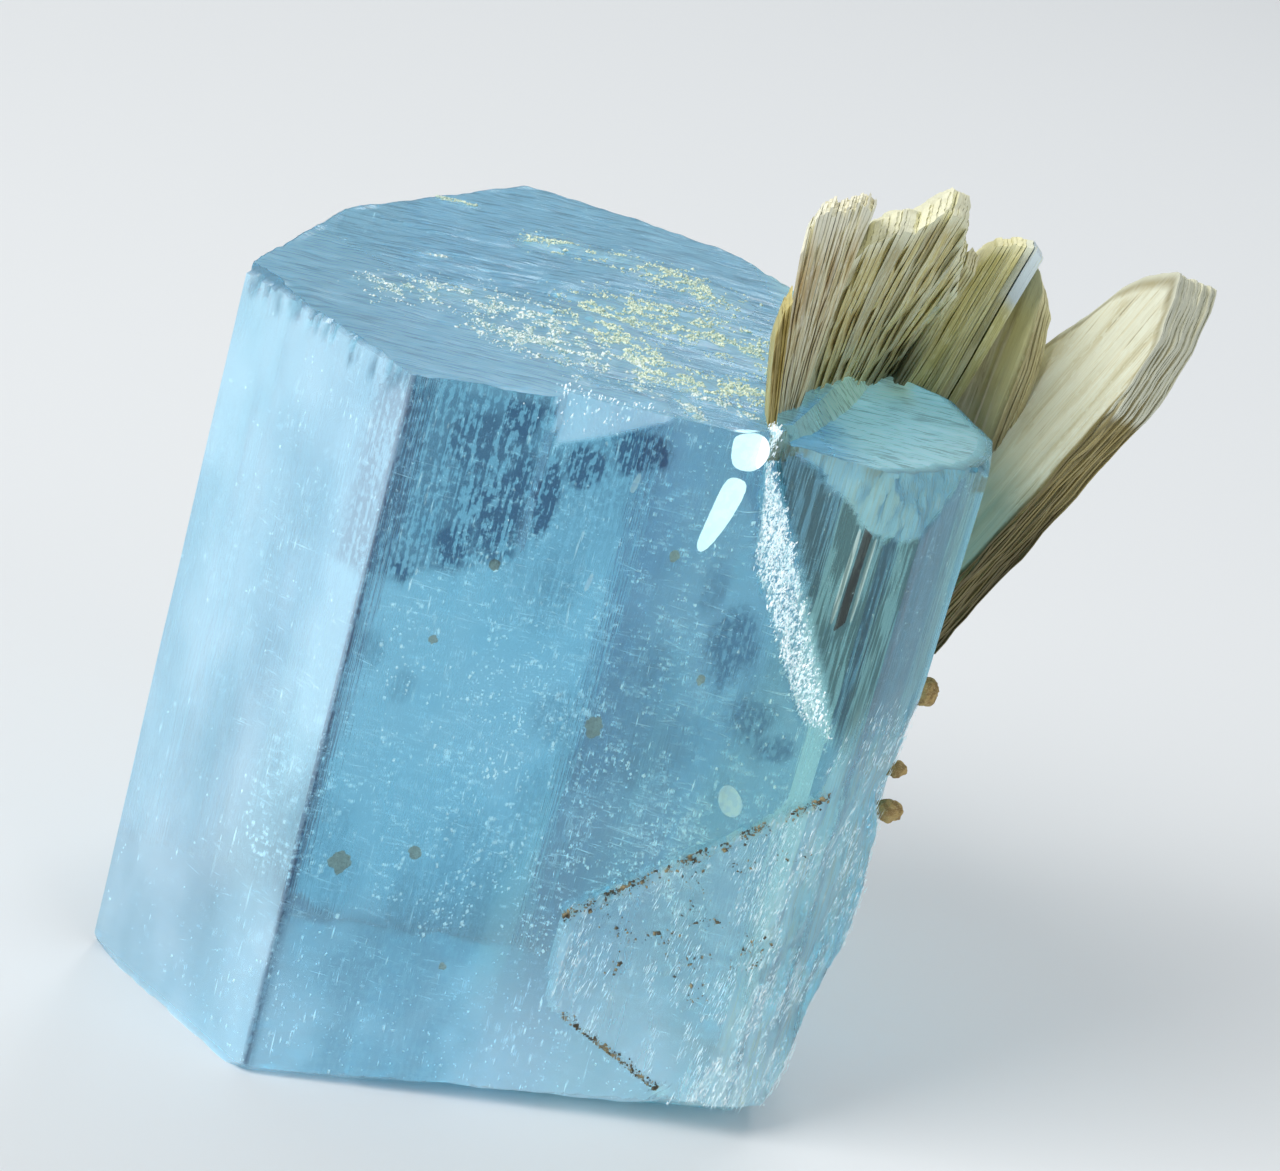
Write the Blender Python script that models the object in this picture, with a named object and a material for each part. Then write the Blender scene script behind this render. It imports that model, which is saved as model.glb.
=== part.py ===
"""A natural aquamarine specimen: a stout six-sided beryl crystal standing on its broken base, a smaller crystal
grown into its right-hand side, books of mica fanned out of the seam between the two, and three crumbs of brown
matrix. Blender 4.5, metres, +Z up. The front prism face looks along -Y. The finished specimen is centred on Z."""
import math

import bmesh
import bpy
from mathutils import Matrix, Vector

MM = 0.001
BLOCK = 160 * MM          # the rough block that each solid is cut from
GAP = 0.3 * MM            # clearance between touching pieces
WELD = 1e-7               # merge distance of the cuts

# Points are measured from the foot of the front-left prism edge: +X along the front face, +Y into the crystal.
# A prism face is {azimuth in degrees from +X: distance from the crystal's axis}.
MAIN_AXIS = Vector((11.1 * MM, 17.2 * MM, 0))
MAIN_TOP = 42.0 * MM
MAIN_FACES = {30: 15.85 * MM, 90: 17.3 * MM, 150: 13.75 * MM, 210: 18.25 * MM, 270: 17.2 * MM}
# Sloping facets are (azimuth, distance from the axis at the level plane they cut, slope from level in degrees).
MAIN_RIM = ((131, 13.3 * MM, 52), (58, 16.2 * MM, 50), (186, 18.9 * MM, 35), (208, 17.7 * MM, 40))
MAIN_FOOT = ((274, 15.9 * MM, 38), (240, 19.8 * MM, 47), (200, 18.4 * MM, 52), (118, 16.6 * MM, 45))
# The face shared with the side crystal stands upright at the rim and flares outwards going down.
SEAM_AZIMUTH = 330
SEAM_TOP = 16.3 * MM
SEAM_FOOT = 23.4 * MM
SEAM_FLARE_HEIGHT = 40.0 * MM
SEAM_FLARE = 22.5

SIDE_AXIS = Vector((27.5 * MM, 8.5 * MM, 0))
SIDE_TOP = 41.0 * MM
SIDE_BASE = 1.3 * MM
SIDE_FACES = {
    254: 8.5 * MM,
    284: 8.4 * MM,
    314: 7.15 * MM,
    344: 6.85 * MM,
    14: 7.1 * MM,
    44: 7.9 * MM,
    74: 8.6 * MM,
    134: 11.0 * MM,
    194: 11.0 * MM,
}
SIDE_RIM = ((296, 7.3 * MM, 70), (330, 6.8 * MM, 60), (10, 6.8 * MM, 45))
SIDE_FOOT = ((300, 7.4 * MM, 60), (345, 4.7 * MM, 79))

# Mica. Each book is a wedge of sheets. Its front edge runs from seat to tip, its sheets run back from that edge
# towards sheet_azimuth by their width, and its thickness is the height of the stack. Widths and thicknesses are
# given at the root and at the tip. A cut is (distance back from the front edge, height above the seat, slope).
MICA = {
    "mica_sheet_ochre": {
        "seat": (20.4, 1.4, 40.4), "tip": (18.6, 2.0, 47.6), "sheet_azimuth": 82,
        "width": (3.4, 4.6), "thickness": (0.6, 0.5), "cuts": ((1.2, 7.4, -50), (2.4, 7.4, 30)),
    },
    "mica_book_left": {
        "seat": (22.4, 4.2, 39.4), "tip": (21.4, 4.5, 52.8), "sheet_azimuth": 70,
        "width": (4.8, 6.0), "thickness": (1.9, 3.5), "cuts": ((2.0, 13.4, -16), (3.0, 13.4, 20)),
    },
    "mica_book_middle": {
        "seat": (26.7, 9.3, 38.8), "tip": (28.6, 8.8, 52.4), "sheet_azimuth": 84,
        "width": (6.0, 8.2), "thickness": (3.2, 5.2), "cuts": ((2.5, 13.4, -40), (3.4, 13.4, 34)),
    },
    "mica_sliver": {
        "seat": (29.8, 14.0, 38.8), "tip": (32.0, 13.4, 50.2), "sheet_azimuth": 78,
        "width": (2.4, 2.8), "thickness": (0.5, 0.9), "cuts": ((1.0, 11.6, -50), (1.4, 11.6, 30)),
    },
    "mica_book_centre": {
        "seat": (31.8, 15.3, 37.2), "tip": (35.2, 14.4, 50.4), "sheet_azimuth": 76,
        "width": (3.8, 4.6), "thickness": (1.5, 2.3), "cuts": ((1.6, 13.6, -14), (2.2, 13.6, 30)),
    },
    "mica_book_tan": {
        "seat": (34.7, 14.5, 33.5), "tip": (39.2, 14.1, 48.6), "sheet_azimuth": 104,
        "width": (5.0, 7.0), "thickness": (0.8, 1.2), "cuts": ((1.6, 15.2, -35), (2.0, 15.2, 42)),
    },
    "mica_book_right": {
        "seat": (35.5, 11.7, 26.4), "tip": (46.0, 8.7, 50.2), "sheet_azimuth": 112,
        "width": (3.0, 11.8), "thickness": (2.6, 3.6), "cuts": ((0, 17.6, -68), (8.2, 16.4, 66)),
    },
}

# Crumbs: (azimuth of the side face each sits on, step along that face from the axis's foot, height, radius)
CRUMBS = {
    "matrix_crumb_upper": (344, 0.9 * MM, 25.8 * MM, 0.95 * MM),
    "matrix_crumb_middle": (344, 1.2 * MM, 20.7 * MM, 0.6 * MM),
    "matrix_crumb_lower": (344, -0.4 * MM, 18.8 * MM, 0.8 * MM),
}

COLOURS = {
    "aquamarine": ((0.42, 0.66, 0.75), 0.08),
    "mica": ((0.56, 0.46, 0.28), 0.42),
    "ochre": ((0.50, 0.34, 0.10), 0.5),
    "matrix": ((0.30, 0.19, 0.08), 0.85),
}


def remove_everything():
    for item in list(bpy.data.objects):
        bpy.data.objects.remove(item)


def new_collection(name):
    collection = bpy.data.collections.new(name)
    bpy.context.scene.collection.children.link(collection)
    return collection


def new_material(name):
    colour, roughness = COLOURS[name]
    material = bpy.data.materials.new(name)
    material.use_nodes = True
    shader = material.node_tree.nodes["Principled BSDF"]
    shader.inputs["Base Color"].default_value = (*colour, 1)
    shader.inputs["Roughness"].default_value = roughness
    shader.inputs["Metallic"].default_value = 0
    return material


def outward(azimuth, slope=90.0):
    """Unit vector that points to this azimuth, square to a face that slopes this much from level."""
    a, s = math.radians(azimuth), math.radians(slope)
    return Vector((math.cos(a) * math.sin(s), math.sin(a) * math.sin(s), math.cos(s)))


def rough_block():
    bm = bmesh.new()
    bmesh.ops.create_cube(bm, size=BLOCK)
    return bm


def cut(bm, point, normal):
    """Takes off all that lies on the normal's side of the plane and closes the cut with one face."""
    parts = bm.verts[:] + bm.edges[:] + bm.faces[:]
    bmesh.ops.bisect_plane(bm, geom=parts, dist=WELD, plane_co=point, plane_no=normal, clear_outer=True)
    rim = [edge for edge in bm.edges if edge.is_boundary]
    bmesh.ops.holes_fill(bm, edges=rim)


def cut_prism(bm, axis, faces, top, foot=0.0):
    """Cuts the upright faces and the two level ends of a prism."""
    for azimuth, distance in faces.items():
        cut(bm, axis + outward(azimuth) * distance, outward(azimuth))
    cut(bm, Vector((0, 0, top)), Vector((0, 0, 1)))
    cut(bm, Vector((0, 0, foot)), Vector((0, 0, -1)))


def cut_facets(bm, axis, facets, level, up=1):
    """Cuts sloping facets on the rim at this level: below a top rim (up=1) or above a foot (up=-1)."""
    for azimuth, distance, slope in facets:
        normal = outward(azimuth, slope)
        normal.z *= up
        cut(bm, axis + outward(azimuth) * distance + Vector((0, 0, level)), normal)


def new_object(name, bm, collection, material, frame):
    """Makes an object of the finished mesh, in the specimen's frame."""
    bmesh.ops.recalc_face_normals(bm, faces=bm.faces)
    mesh = bpy.data.meshes.new(name)
    bm.to_mesh(mesh)
    bm.free()
    mesh.materials.append(material)
    item = bpy.data.objects.new(name, mesh)
    item.parent = frame
    collection.objects.link(item)
    return item


def as_cutter(item):
    item.hide_render = True
    item.display_type = "WIRE"


def boolean(item, other, operation):
    modifier = item.modifiers.new(other.name, "BOOLEAN")
    modifier.operation = operation
    modifier.solver = "EXACT"
    modifier.object = other


def main_crystal(collection, material, frame):
    bm = rough_block()
    cut_prism(bm, MAIN_AXIS, MAIN_FACES, MAIN_TOP)
    seam = outward(SEAM_AZIMUTH)
    cut(bm, MAIN_AXIS + seam * SEAM_FOOT, seam)
    flare = outward(SEAM_AZIMUTH, 90 - SEAM_FLARE)
    cut(bm, MAIN_AXIS + seam * SEAM_TOP + Vector((0, 0, SEAM_FLARE_HEIGHT)), flare)
    # Where the side crystal's own faces cross the main one, the main one stops just inside them.
    for azimuth in (344, 14, 44):
        face = outward(azimuth)
        cut(bm, SIDE_AXIS + face * (SIDE_FACES[azimuth] - GAP), face)
    cut_facets(bm, MAIN_AXIS, MAIN_RIM, MAIN_TOP)
    cut_facets(bm, MAIN_AXIS, MAIN_FOOT, 0, up=-1)
    return new_object("aquamarine_crystal", bm, collection, material, frame)


def side_crystal(collection, material, frame):
    bm = rough_block()
    cut_prism(bm, SIDE_AXIS, SIDE_FACES, SIDE_TOP, SIDE_BASE)
    cut_facets(bm, SIDE_AXIS, SIDE_RIM, SIDE_TOP)
    cut_facets(bm, SIDE_AXIS, SIDE_FOOT, SIDE_BASE, up=-1)
    return new_object("side_crystal", bm, collection, material, frame)


def book_matrix(book):
    """Puts a book's front edge along local Z from the origin, with its sheets in the local XZ plane."""
    seat, tip = Vector(book["seat"]) * MM, Vector(book["tip"]) * MM
    along = (tip - seat).normalized()
    across = outward(book["sheet_azimuth"])
    across = (across - along * across.dot(along)).normalized()
    stack = along.cross(across)
    return Matrix.Translation(seat) @ Matrix((across, stack, along)).transposed().to_4x4()


def mica_book(name, book, collection, material, frame, grow=0.0):
    """A block tapered from root to tip and trimmed by two slanting cuts, then turned and set in its seat."""
    widths, thicknesses = book["width"], book["thickness"]
    length = (Vector(book["tip"]) - Vector(book["seat"])).length * MM
    bm = bmesh.new()
    bmesh.ops.create_cube(bm, size=1)
    for corner in bm.verts:
        at_tip = corner.co.z > 0
        corner.co.x = widths[at_tip] * MM + grow if corner.co.x > 0 else -grow
        corner.co.y *= thicknesses[at_tip] * MM + 2 * grow
        corner.co.z = length + grow if at_tip else -grow
    for back, height, slope in book["cuts"]:
        normal = Vector((math.sin(math.radians(slope)), 0, math.cos(math.radians(slope))))
        cut(bm, Vector((back * MM, 0, height * MM)) + normal * grow, normal)
    item = new_object(name, bm, collection, material, frame)
    item.matrix_local = book_matrix(book)
    return item


def crumb(name, spec, collection, material, frame):
    """A lumpy grain whose back is cut flat against the side crystal's face."""
    azimuth, along, height, radius = spec
    face, run = outward(azimuth), outward(azimuth + 90)
    centre = SIDE_AXIS + face * (SIDE_FACES[azimuth] + 0.35 * radius) + run * along + Vector((0, 0, height))
    bm = bmesh.new()
    bmesh.ops.create_icosphere(bm, subdivisions=2, radius=radius)
    for corner in bm.verts:
        x, y, z = corner.co / radius
        corner.co *= 1 + 0.16 * math.sin(5 * x + 3 * z) * math.cos(4 * y + azimuth) + 0.08 * math.sin(9 * z + 7 * y)
    bmesh.ops.translate(bm, verts=bm.verts, vec=centre)
    cut(bm, SIDE_AXIS + face * (SIDE_FACES[azimuth] + GAP), -face)
    return new_object(name, bm, collection, material, frame)


def centre_on_floor(items, frame):
    """Moves the specimen so that its box stands on z = 0 with its middle over the origin."""
    bpy.context.view_layer.update()
    graph = bpy.context.evaluated_depsgraph_get()
    corners = []
    for item in items:
        evaluated = item.evaluated_get(graph)
        corners += [evaluated.matrix_world @ corner.co for corner in evaluated.data.vertices]
    low = Vector(min(c[i] for c in corners) for i in range(3))
    high = Vector(max(c[i] for c in corners) for i in range(3))
    frame.location = (-(low.x + high.x) / 2, -(low.y + high.y) / 2, -low.z)
    bpy.context.view_layer.update()


def build():
    remove_everything()
    parts = new_collection("aquamarine_specimen")
    cutters = new_collection("cutters")
    materials = {name: new_material(name) for name in COLOURS}
    frame = bpy.data.objects.new("specimen_frame", None)
    parts.objects.link(frame)

    crystal = main_crystal(parts, materials["aquamarine"], frame)
    side = side_crystal(cutters, materials["aquamarine"], frame)
    as_cutter(side)
    boolean(crystal, side, "UNION")
    items = [crystal]
    for name, book in MICA.items():
        material = materials["ochre" if name == "mica_sheet_ochre" else "mica"]
        items.append(mica_book(name, book, parts, material, frame))
        seat = mica_book(name + "_seat", book, cutters, material, frame, grow=GAP)
        as_cutter(seat)
        boolean(crystal, seat, "DIFFERENCE")
    for name, spec in CRUMBS.items():
        items.append(crumb(name, spec, parts, materials["matrix"], frame))
    centre_on_floor(items, frame)


build()
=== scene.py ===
import math

import bpy
import numpy as np
from mathutils import Matrix, Vector


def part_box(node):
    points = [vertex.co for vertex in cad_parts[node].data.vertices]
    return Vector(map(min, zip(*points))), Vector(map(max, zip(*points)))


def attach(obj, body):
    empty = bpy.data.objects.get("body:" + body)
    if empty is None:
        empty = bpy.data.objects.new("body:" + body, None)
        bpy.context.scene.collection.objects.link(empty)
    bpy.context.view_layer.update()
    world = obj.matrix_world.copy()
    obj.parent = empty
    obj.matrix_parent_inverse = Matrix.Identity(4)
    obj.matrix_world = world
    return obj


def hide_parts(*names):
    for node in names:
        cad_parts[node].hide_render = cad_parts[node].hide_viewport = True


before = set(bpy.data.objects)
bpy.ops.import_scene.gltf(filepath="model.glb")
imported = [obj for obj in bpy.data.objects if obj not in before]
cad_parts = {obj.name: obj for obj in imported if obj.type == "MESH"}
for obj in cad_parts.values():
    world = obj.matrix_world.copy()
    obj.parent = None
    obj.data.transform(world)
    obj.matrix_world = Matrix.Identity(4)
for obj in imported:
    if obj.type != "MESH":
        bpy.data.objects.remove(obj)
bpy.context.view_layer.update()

# Lengths below are in millimetres from the foot of the front-left prism edge:
# +X along the front face, +Y into the crystal, +Z up the prism.
mm = 0.001
edgeInset = (7.375, 34.5)      # how far that edge stands in from the crystal's left side and from its back
crystalLow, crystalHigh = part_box("aquamarine_crystal")
foot = np.array([crystalLow.x / mm + edgeInset[0], crystalHigh.y / mm - edgeInset[1], 0.0])


# arrays of numbers

def smoothStep(value, low, high):
    # 0 below low, 1 above high, with an S-shaped cubic between
    t = np.clip((value - low) / (high - low), 0, 1)
    return t * t * (3 - 2 * t)


def between(value, low, high, rise, fall):
    # 1 from low + rise to high - fall, 0 outside low to high, S-shaped curves in those margins
    return smoothStep(value - low, 0, rise) * smoothStep(high - value, 0, fall)


def readOff(line, place):
    # linear between (place, value) stops
    return np.interp(place, *np.array(line, float).T)


def lineHeight(line, x):
    # height at x of a straight edge given by a point (x, z) on it and its slope
    return line[1] + line[2] * (x - line[0])


hashPrimes = np.array([73856093, 19349663, 83492791])


def hashCells(cells, seed):
    # a scattered value from -1 to 1 for each whole-number cell
    h = np.bitwise_xor.reduce(cells * hashPrimes, axis=-1) ^ (seed * 26544357)
    h = ((h ^ (h >> 13)) * 1274126177) & 0x7FFFFFFF
    h = (h ^ (h >> 15)) & 0xFFFFF
    return h / 0x7FFFF - 1


def valueNoise(points, seed):
    # smooth noise from -1 to 1: the eight hashed corners of each point's cell, blended by cubic weights
    cell = np.floor(points).astype(np.int64)
    f = points - cell
    f = f * f * (3 - 2 * f)
    total = np.zeros(points.shape[:-1])
    for corner in np.ndindex(2, 2, 2):
        weight = np.prod(np.where(np.array(corner) == 1, f, 1 - f), axis=-1)
        total += weight * hashCells(cell + np.array(corner), seed)
    return total


def cloudNoise(x, y, z, size, seed, octaves=3):
    # value noise of this size (one length or three), added to itself at half the size and strength
    points = np.stack(np.broadcast_arrays(x, y, z), axis=-1) / np.array(size, float)
    return sum(valueNoise(points * 2 ** k + 7.3 * seed, seed + k) / 2 ** k for k in range(octaves))


def heading(azimuth):
    # the level direction (cos, sin, 0)
    return np.array([math.cos(math.radians(azimuth)), math.sin(math.radians(azimuth)), 0.0])


def unit(vector):
    return vector / np.linalg.norm(vector)


# meshes

def newPiece(name, points, faces, material, slotName, sharp=30, marks=None):
    # points in millimetres from the foot; faces: one array per number of corners; sharp: degrees, None for
    # flat faces; marks: one number or vector per point under each name
    mesh = bpy.data.meshes.new(name)
    where = (points.reshape(-1, 3) + foot) * mm
    corners = np.concatenate([group.ravel() for group in faces]).astype(np.int32)
    counts = np.concatenate([np.full(len(group), group.shape[1]) for group in faces])
    mesh.vertices.add(len(where))
    mesh.vertices.foreach_set("co", where.astype(np.float32).ravel())
    mesh.loops.add(len(corners))
    mesh.loops.foreach_set("vertex_index", corners)
    mesh.polygons.add(len(counts))
    mesh.polygons.foreach_set("loop_start", np.concatenate([[0], np.cumsum(counts)[:-1]]).astype(np.int32))
    mesh.update(calc_edges=True)
    for markName, values in (marks or {}).items():
        isVector = np.ndim(values) == 2 and np.shape(values)[1] == 3
        layer = mesh.attributes.new(markName, "FLOAT_VECTOR" if isVector else "FLOAT", "POINT")
        layer.data.foreach_set("vector" if isVector else "value", np.asarray(values, np.float32).ravel())
    if sharp:
        mesh.shade_smooth()
        mesh.set_sharp_from_angle(angle=math.radians(sharp))
    mesh.materials.append(material)
    piece = bpy.data.objects.new(name, mesh)
    bpy.context.scene.collection.objects.link(piece)
    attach(piece, "root")
    print(name, len(where), "points,", int((counts - 2).sum()), "triangles")
    return piece


def ringFaces(rows, columns, start=0):
    # quads between neighbouring rings, each ring closed and running anticlockwise, the first ring lowest
    row, column = np.meshgrid(np.arange(rows - 1), np.arange(columns), indexing="ij")
    after = (column + 1) % columns
    quads = np.stack([row * columns + column, row * columns + after, (row + 1) * columns + after,
                      (row + 1) * columns + column], axis=-1)
    return quads.reshape(-1, 4) + start


def poleFaces(ringStart, columns, pole, upwards):
    # triangles from one ring to a single point
    column = np.arange(columns)
    after = (column + 1) % columns
    first, second = (column, after) if upwards else (after, column)
    return np.stack([ringStart + first, ringStart + second, np.full(columns, pole)], axis=-1)


def closedRings(rows, columns):
    # a tube of rings closed by two poles, whose points come after the rings, the lower one first
    count = rows * columns
    return [ringFaces(rows, columns), poleFaces(0, columns, count, False),
            poleFaces(count - columns, columns, count + 1, True)]


octahedron = (
    np.array([(1, 0, 0), (0, 1, 0), (-1, 0, 0), (0, -1, 0), (0, 0, 1), (0, 0, -1)], float),
    np.array([(0, 1, 4), (1, 2, 4), (2, 3, 4), (3, 0, 4), (1, 0, 5), (2, 1, 5), (3, 2, 5), (0, 3, 5)]),
)
tetrahedron = (
    np.array([(1, 1, 1), (-1, -1, 1), (-1, 1, -1), (1, -1, -1)], float) * 0.6,
    np.array([(0, 2, 1), (0, 1, 3), (0, 3, 2), (1, 2, 3)]),
)


def randomTurns(rng, count):
    # rotation matrices spread evenly over all directions, from random unit quaternions
    q = rng.normal(size=(count, 4))
    w, x, y, z = (q / np.linalg.norm(q, axis=1)[:, None]).T
    rows = [1 - 2 * (y * y + z * z), 2 * (x * y - z * w), 2 * (x * z + y * w),
            2 * (x * y + z * w), 1 - 2 * (x * x + z * z), 2 * (y * z - x * w),
            2 * (x * z - y * w), 2 * (y * z + x * w), 1 - 2 * (x * x + y * y)]
    return np.stack(rows, axis=-1).reshape(count, 3, 3)


def aroundAxis(along, count, spread, rng):
    # rotation matrices whose third column is near the given direction
    third = along + rng.normal(scale=spread, size=(count, 3))
    third /= np.linalg.norm(third, axis=1)[:, None]
    first = np.cross(third, rng.normal(size=(count, 3)))
    first /= np.linalg.norm(first, axis=1)[:, None]
    return np.stack([first, np.cross(third, first), third], axis=-1)


def scattered(shape, centres, sizes, turns):
    # one copy of the shape at each centre, stretched by its three sizes and then turned
    corners, faces = shape
    points = corners[None] * sizes[:, None, :]
    points = np.einsum("nij,nkj->nki", turns, points) + centres[:, None, :]
    offsets = np.arange(len(centres))[:, None, None] * len(corners)
    return points.reshape(-1, 3), [(faces[None] + offsets).reshape(-1, faces.shape[1])]


# materials

class Wire:
    # a node's output that takes part in arithmetic: each operator adds its Math node
    def __init__(self, maker, socket):
        self.maker = maker
        self.socket = socket

    def math(self, operation, first, second):
        return self.maker.node("ShaderNodeMath", {"operation": operation}, {0: first, 1: second})

    def __add__(self, other):
        return self.math("ADD", self, other)

    def __mul__(self, other):
        return self.math("MULTIPLY", self, other)

    def __sub__(self, other):
        return self.math("SUBTRACT", self, other)

    def __rsub__(self, other):
        return self.math("SUBTRACT", other, self)

    __radd__ = __add__
    __rmul__ = __mul__

    def above(self, low, high):
        # 0 at low, 1 at high, an S-shaped curve between
        values = {"Value": self, "From Min": low, "From Max": high}
        return self.maker.node("ShaderNodeMapRange", {"interpolation_type": "SMOOTHSTEP"}, values)


class Maker:
    # builds one Principled material; lengths are in millimetres
    def __init__(self, name):
        self.material = bpy.data.materials.new(name)
        self.material.use_nodes = True
        self.tree = self.material.node_tree
        self.shader = self.tree.nodes["Principled BSDF"]
        self.place = self.node("ShaderNodeTexCoord", {}, {}, "Object")

    def put(self, socket, value):
        if isinstance(value, Wire):
            self.tree.links.new(value.socket, socket)
        else:
            isColour = isinstance(value, tuple) and socket.type == "RGBA"
            socket.default_value = (*value, 1) if isColour else value

    def node(self, kind, settings, values, output=0):
        made = self.tree.nodes.new(kind)
        for name, value in settings.items():
            setattr(made, name, value)
        for name, value in values.items():
            self.put(made.inputs[name], value)
        return Wire(self, made.outputs[output])

    def stretched(self, lengths, turn=(0, 0, 0)):
        # object coordinates in the turned frame, divided by these lengths
        values = {"Vector": self.place, "Rotation": turn, "Scale": tuple(mm * length for length in lengths)}
        return self.node("ShaderNodeMapping", {"vector_type": "TEXTURE"}, values)

    def noise(self, lengths, detail=3.0, roughness=0.55, turn=(0, 0, 0)):
        # lengths: three sizes in millimetres, or a wire that already carries scaled coordinates
        place = lengths if isinstance(lengths, Wire) else self.stretched(lengths, turn)
        values = {"Vector": place, "Scale": 1.0, "Detail": detail, "Roughness": roughness}
        return self.node("ShaderNodeTexNoise", {}, values)

    def cells(self, lengths):
        values = {"Vector": self.stretched(lengths), "Scale": 1.0}
        return self.node("ShaderNodeTexVoronoi", {}, values, "Distance")

    def mark(self, name, output="Fac"):
        return self.node("ShaderNodeAttribute", {"attribute_name": name}, {}, output)

    def mix(self, share, first, second):
        return self.node("ShaderNodeMix", {"data_type": "RGBA"}, {0: share, 6: first, 7: second}, 2)

    def bump(self, height, depth):
        return self.node("ShaderNodeBump", {}, {"Height": height, "Distance": depth * mm})

    def finish(self, **values):
        # the Principled shader's sockets by name, with underscores for spaces
        for name, value in values.items():
            self.put(self.shader.inputs[name.replace("_", " ")], value)
        self.material.cycles.emission_sampling = "NONE"      # faintly glowing faces are no lamps
        return self.material


# the two intergrown crystals

mainCrystal = {
    "axis": (11.1, 17.2),
    "top": 42.0,
    "base": 0.0,
    "faces": {30: 15.85, 90: 17.3, 150: 13.75, 210: 18.25, 270: 17.2},           # azimuth: distance
    "rim": ((131, 13.3, 52), (58, 16.2, 50), (186, 18.9, 35), (208, 17.7, 40)),  # azimuth, distance, slope
    "foot": ((274, 15.9, 38), (240, 19.8, 47), (200, 18.4, 52), (118, 16.6, 45)),
    "joint": (330, 23.4, 16.3, 22.5),     # azimuth, greatest distance, distance at the rim, slope
    "bevel": (292, 0.3746, 15.95, 0.7),   # azimuth, its cosine, the seam's distance straight ahead, depth
}
sideCrystal = {
    "axis": (27.5, 8.5),
    "top": 41.0,
    "base": 1.3,
    "faces": {254: 8.5, 284: 8.4, 314: 7.15, 344: 6.85, 14: 7.1, 44: 7.9, 74: 8.6, 134: 11, 194: 11},
    "rim": ((296, 7.3, 70), (330, 6.8, 60), (10, 6.8, 45)),
    "foot": ((300, 7.4, 60), (345, 4.7, 79)),
}
crystalGrid = {"spacing": 0.29, "wallRows": 132, "topRows": 66, "rimRows": 9, "footRows": 16}

# crusts of grains on the main crystal's top: tone, half width and middle line of each band
crustBands = (
    ("pale", 1.15, ((-0.2, 12.6), (1.8, 13.0), (3.8, 13.0), (5.9, 13.2), (7.6, 12.4), (9.2, 11.1),
                    (10.4, 9.4))),
    ("pale", 1.20, ((5.6, 9.3), (7.5, 8.2), (9.5, 7.6), (11.7, 7.0), (13.9, 6.9))),
    ("straw", 0.95, ((13.0, 6.9), (16.1, 6.3), (18.1, 6.1), (20.6, 6.2))),
    ("straw", 1.55, ((11.1, 11.7), (13.6, 15.0), (15.4, 14.6), (17.7, 14.5), (19.7, 13.0), (21.6, 11.3))),
    ("straw", 1.20, ((12.5, 11.4), (14.4, 8.4))),
    ("straw", 0.75, ((10.0, 23.3), (12.0, 23.9), (13.8, 23.0), (15.2, 22.4), (16.1, 22.0))),
    ("straw", 1.10, ((16.7, 21.4), (18.1, 20.8), (19.5, 19.7), (20.6, 18.6))),
    ("pale", 0.22, ((9.1, 5.0), (9.8, 3.6))),
    ("pale", 0.24, ((12.6, 3.9), (14.1, 3.0))),
    ("pale", 0.28, ((15.2, 3.6), (15.8, 0.6))),
    ("pale", 0.30, ((15.9, 4.6), (19.2, 2.2))),
    ("pale", 0.12, ((2.9, 19.0), (4.6, 19.0))),
    ("straw", 0.16, ((5.4, 29.0), (7.4, 28.5))),
)

frontPlaces = {
    # a straight edge is a point (x, z) on it and its slope; a crooked one is a row of points
    "plateTop": (15.3, 12.7, 0.731),
    "plateFoot": (16.5, 6.5, -0.594),
    "plateSides": (15.6, 28.6),                                                                  # x, x
    "bandLeft": ((25.4, 27.0), (26.1, 25.5), (30.5, 22.9), (34.8, 20.5), (41.1, 19.7)),          # z, x
    "chipFoot": ((7.4, 43), (7.9, 41.2), (8.3, 39.2), (10.9, 40.1), (14.1, 41.6), (14.6, 43)),   # x, z
    "facetFoot": ((21.1, 40.9), (26.3, 37.5), (28.8, 37.1), (31.0, 40.2), (32.5, 41.2)),         # x, z
    "wornFoot": ((0, 0), (3.5, 0), (11.7, 1.0), (18.2, 0.9), (22.6, 0.6), (23.4, 2.2), (27, 2.1),
                 (29.9, 1.4)),                                                                   # x, z
}
reliefDepth = {
    # on the walls, millimetres
    "striation": 0.022, "fineStriation": 0.010, "wave": 0.035, "step": 0.28, "plate": 0.35,
    "plateGrain": 0.03, "band": 0.2, "bandSunk": 0.1, "chip": 0.50, "chipGrain": 0.09,
    "flute": 0.24, "fluteSunk": 0.12, "notch": 0.24, "dent": 0.8, "back": 0.075, "facet": 0.22,
    "facetSunk": 0.16,
    # on the tops
    "dome": 0.62, "terrace": 0.06, "topStriation": 0.06, "swell": 0.05, "crust": 0.07,
}
terraceLevels = (9.5, 13.2, 15.1, 17.6, 19.2, 21.5, 24.0, 26.4)


def crustCover(x, y):
    # 0 to 1 over the crust bands: a bell curve of the distance to each band's line, the greatest of them all
    cover = np.zeros(np.shape(x))
    for tone, half, line in crustBands:
        for (ax, ay), (bx, by) in zip(line[:-1], line[1:]):
            dx, dy = bx - ax, by - ay
            share = np.clip(((x - ax) * dx + (y - ay) * dy) / (dx ** 2 + dy ** 2), 0, 1)
            away = np.hypot(x - ax - share * dx, y - ay - share * dy)
            cover = np.maximum(cover, np.exp(-(away / half) ** 2))
    return cover


def seamX(z):
    # where the main crystal's front face ends: x 20 at the rim, 28.5 at height 22.6, a near-straight curve
    return 20 + 8.5 * np.clip((40 - z) / 17.4, 0, 1) ** 0.9


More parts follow.
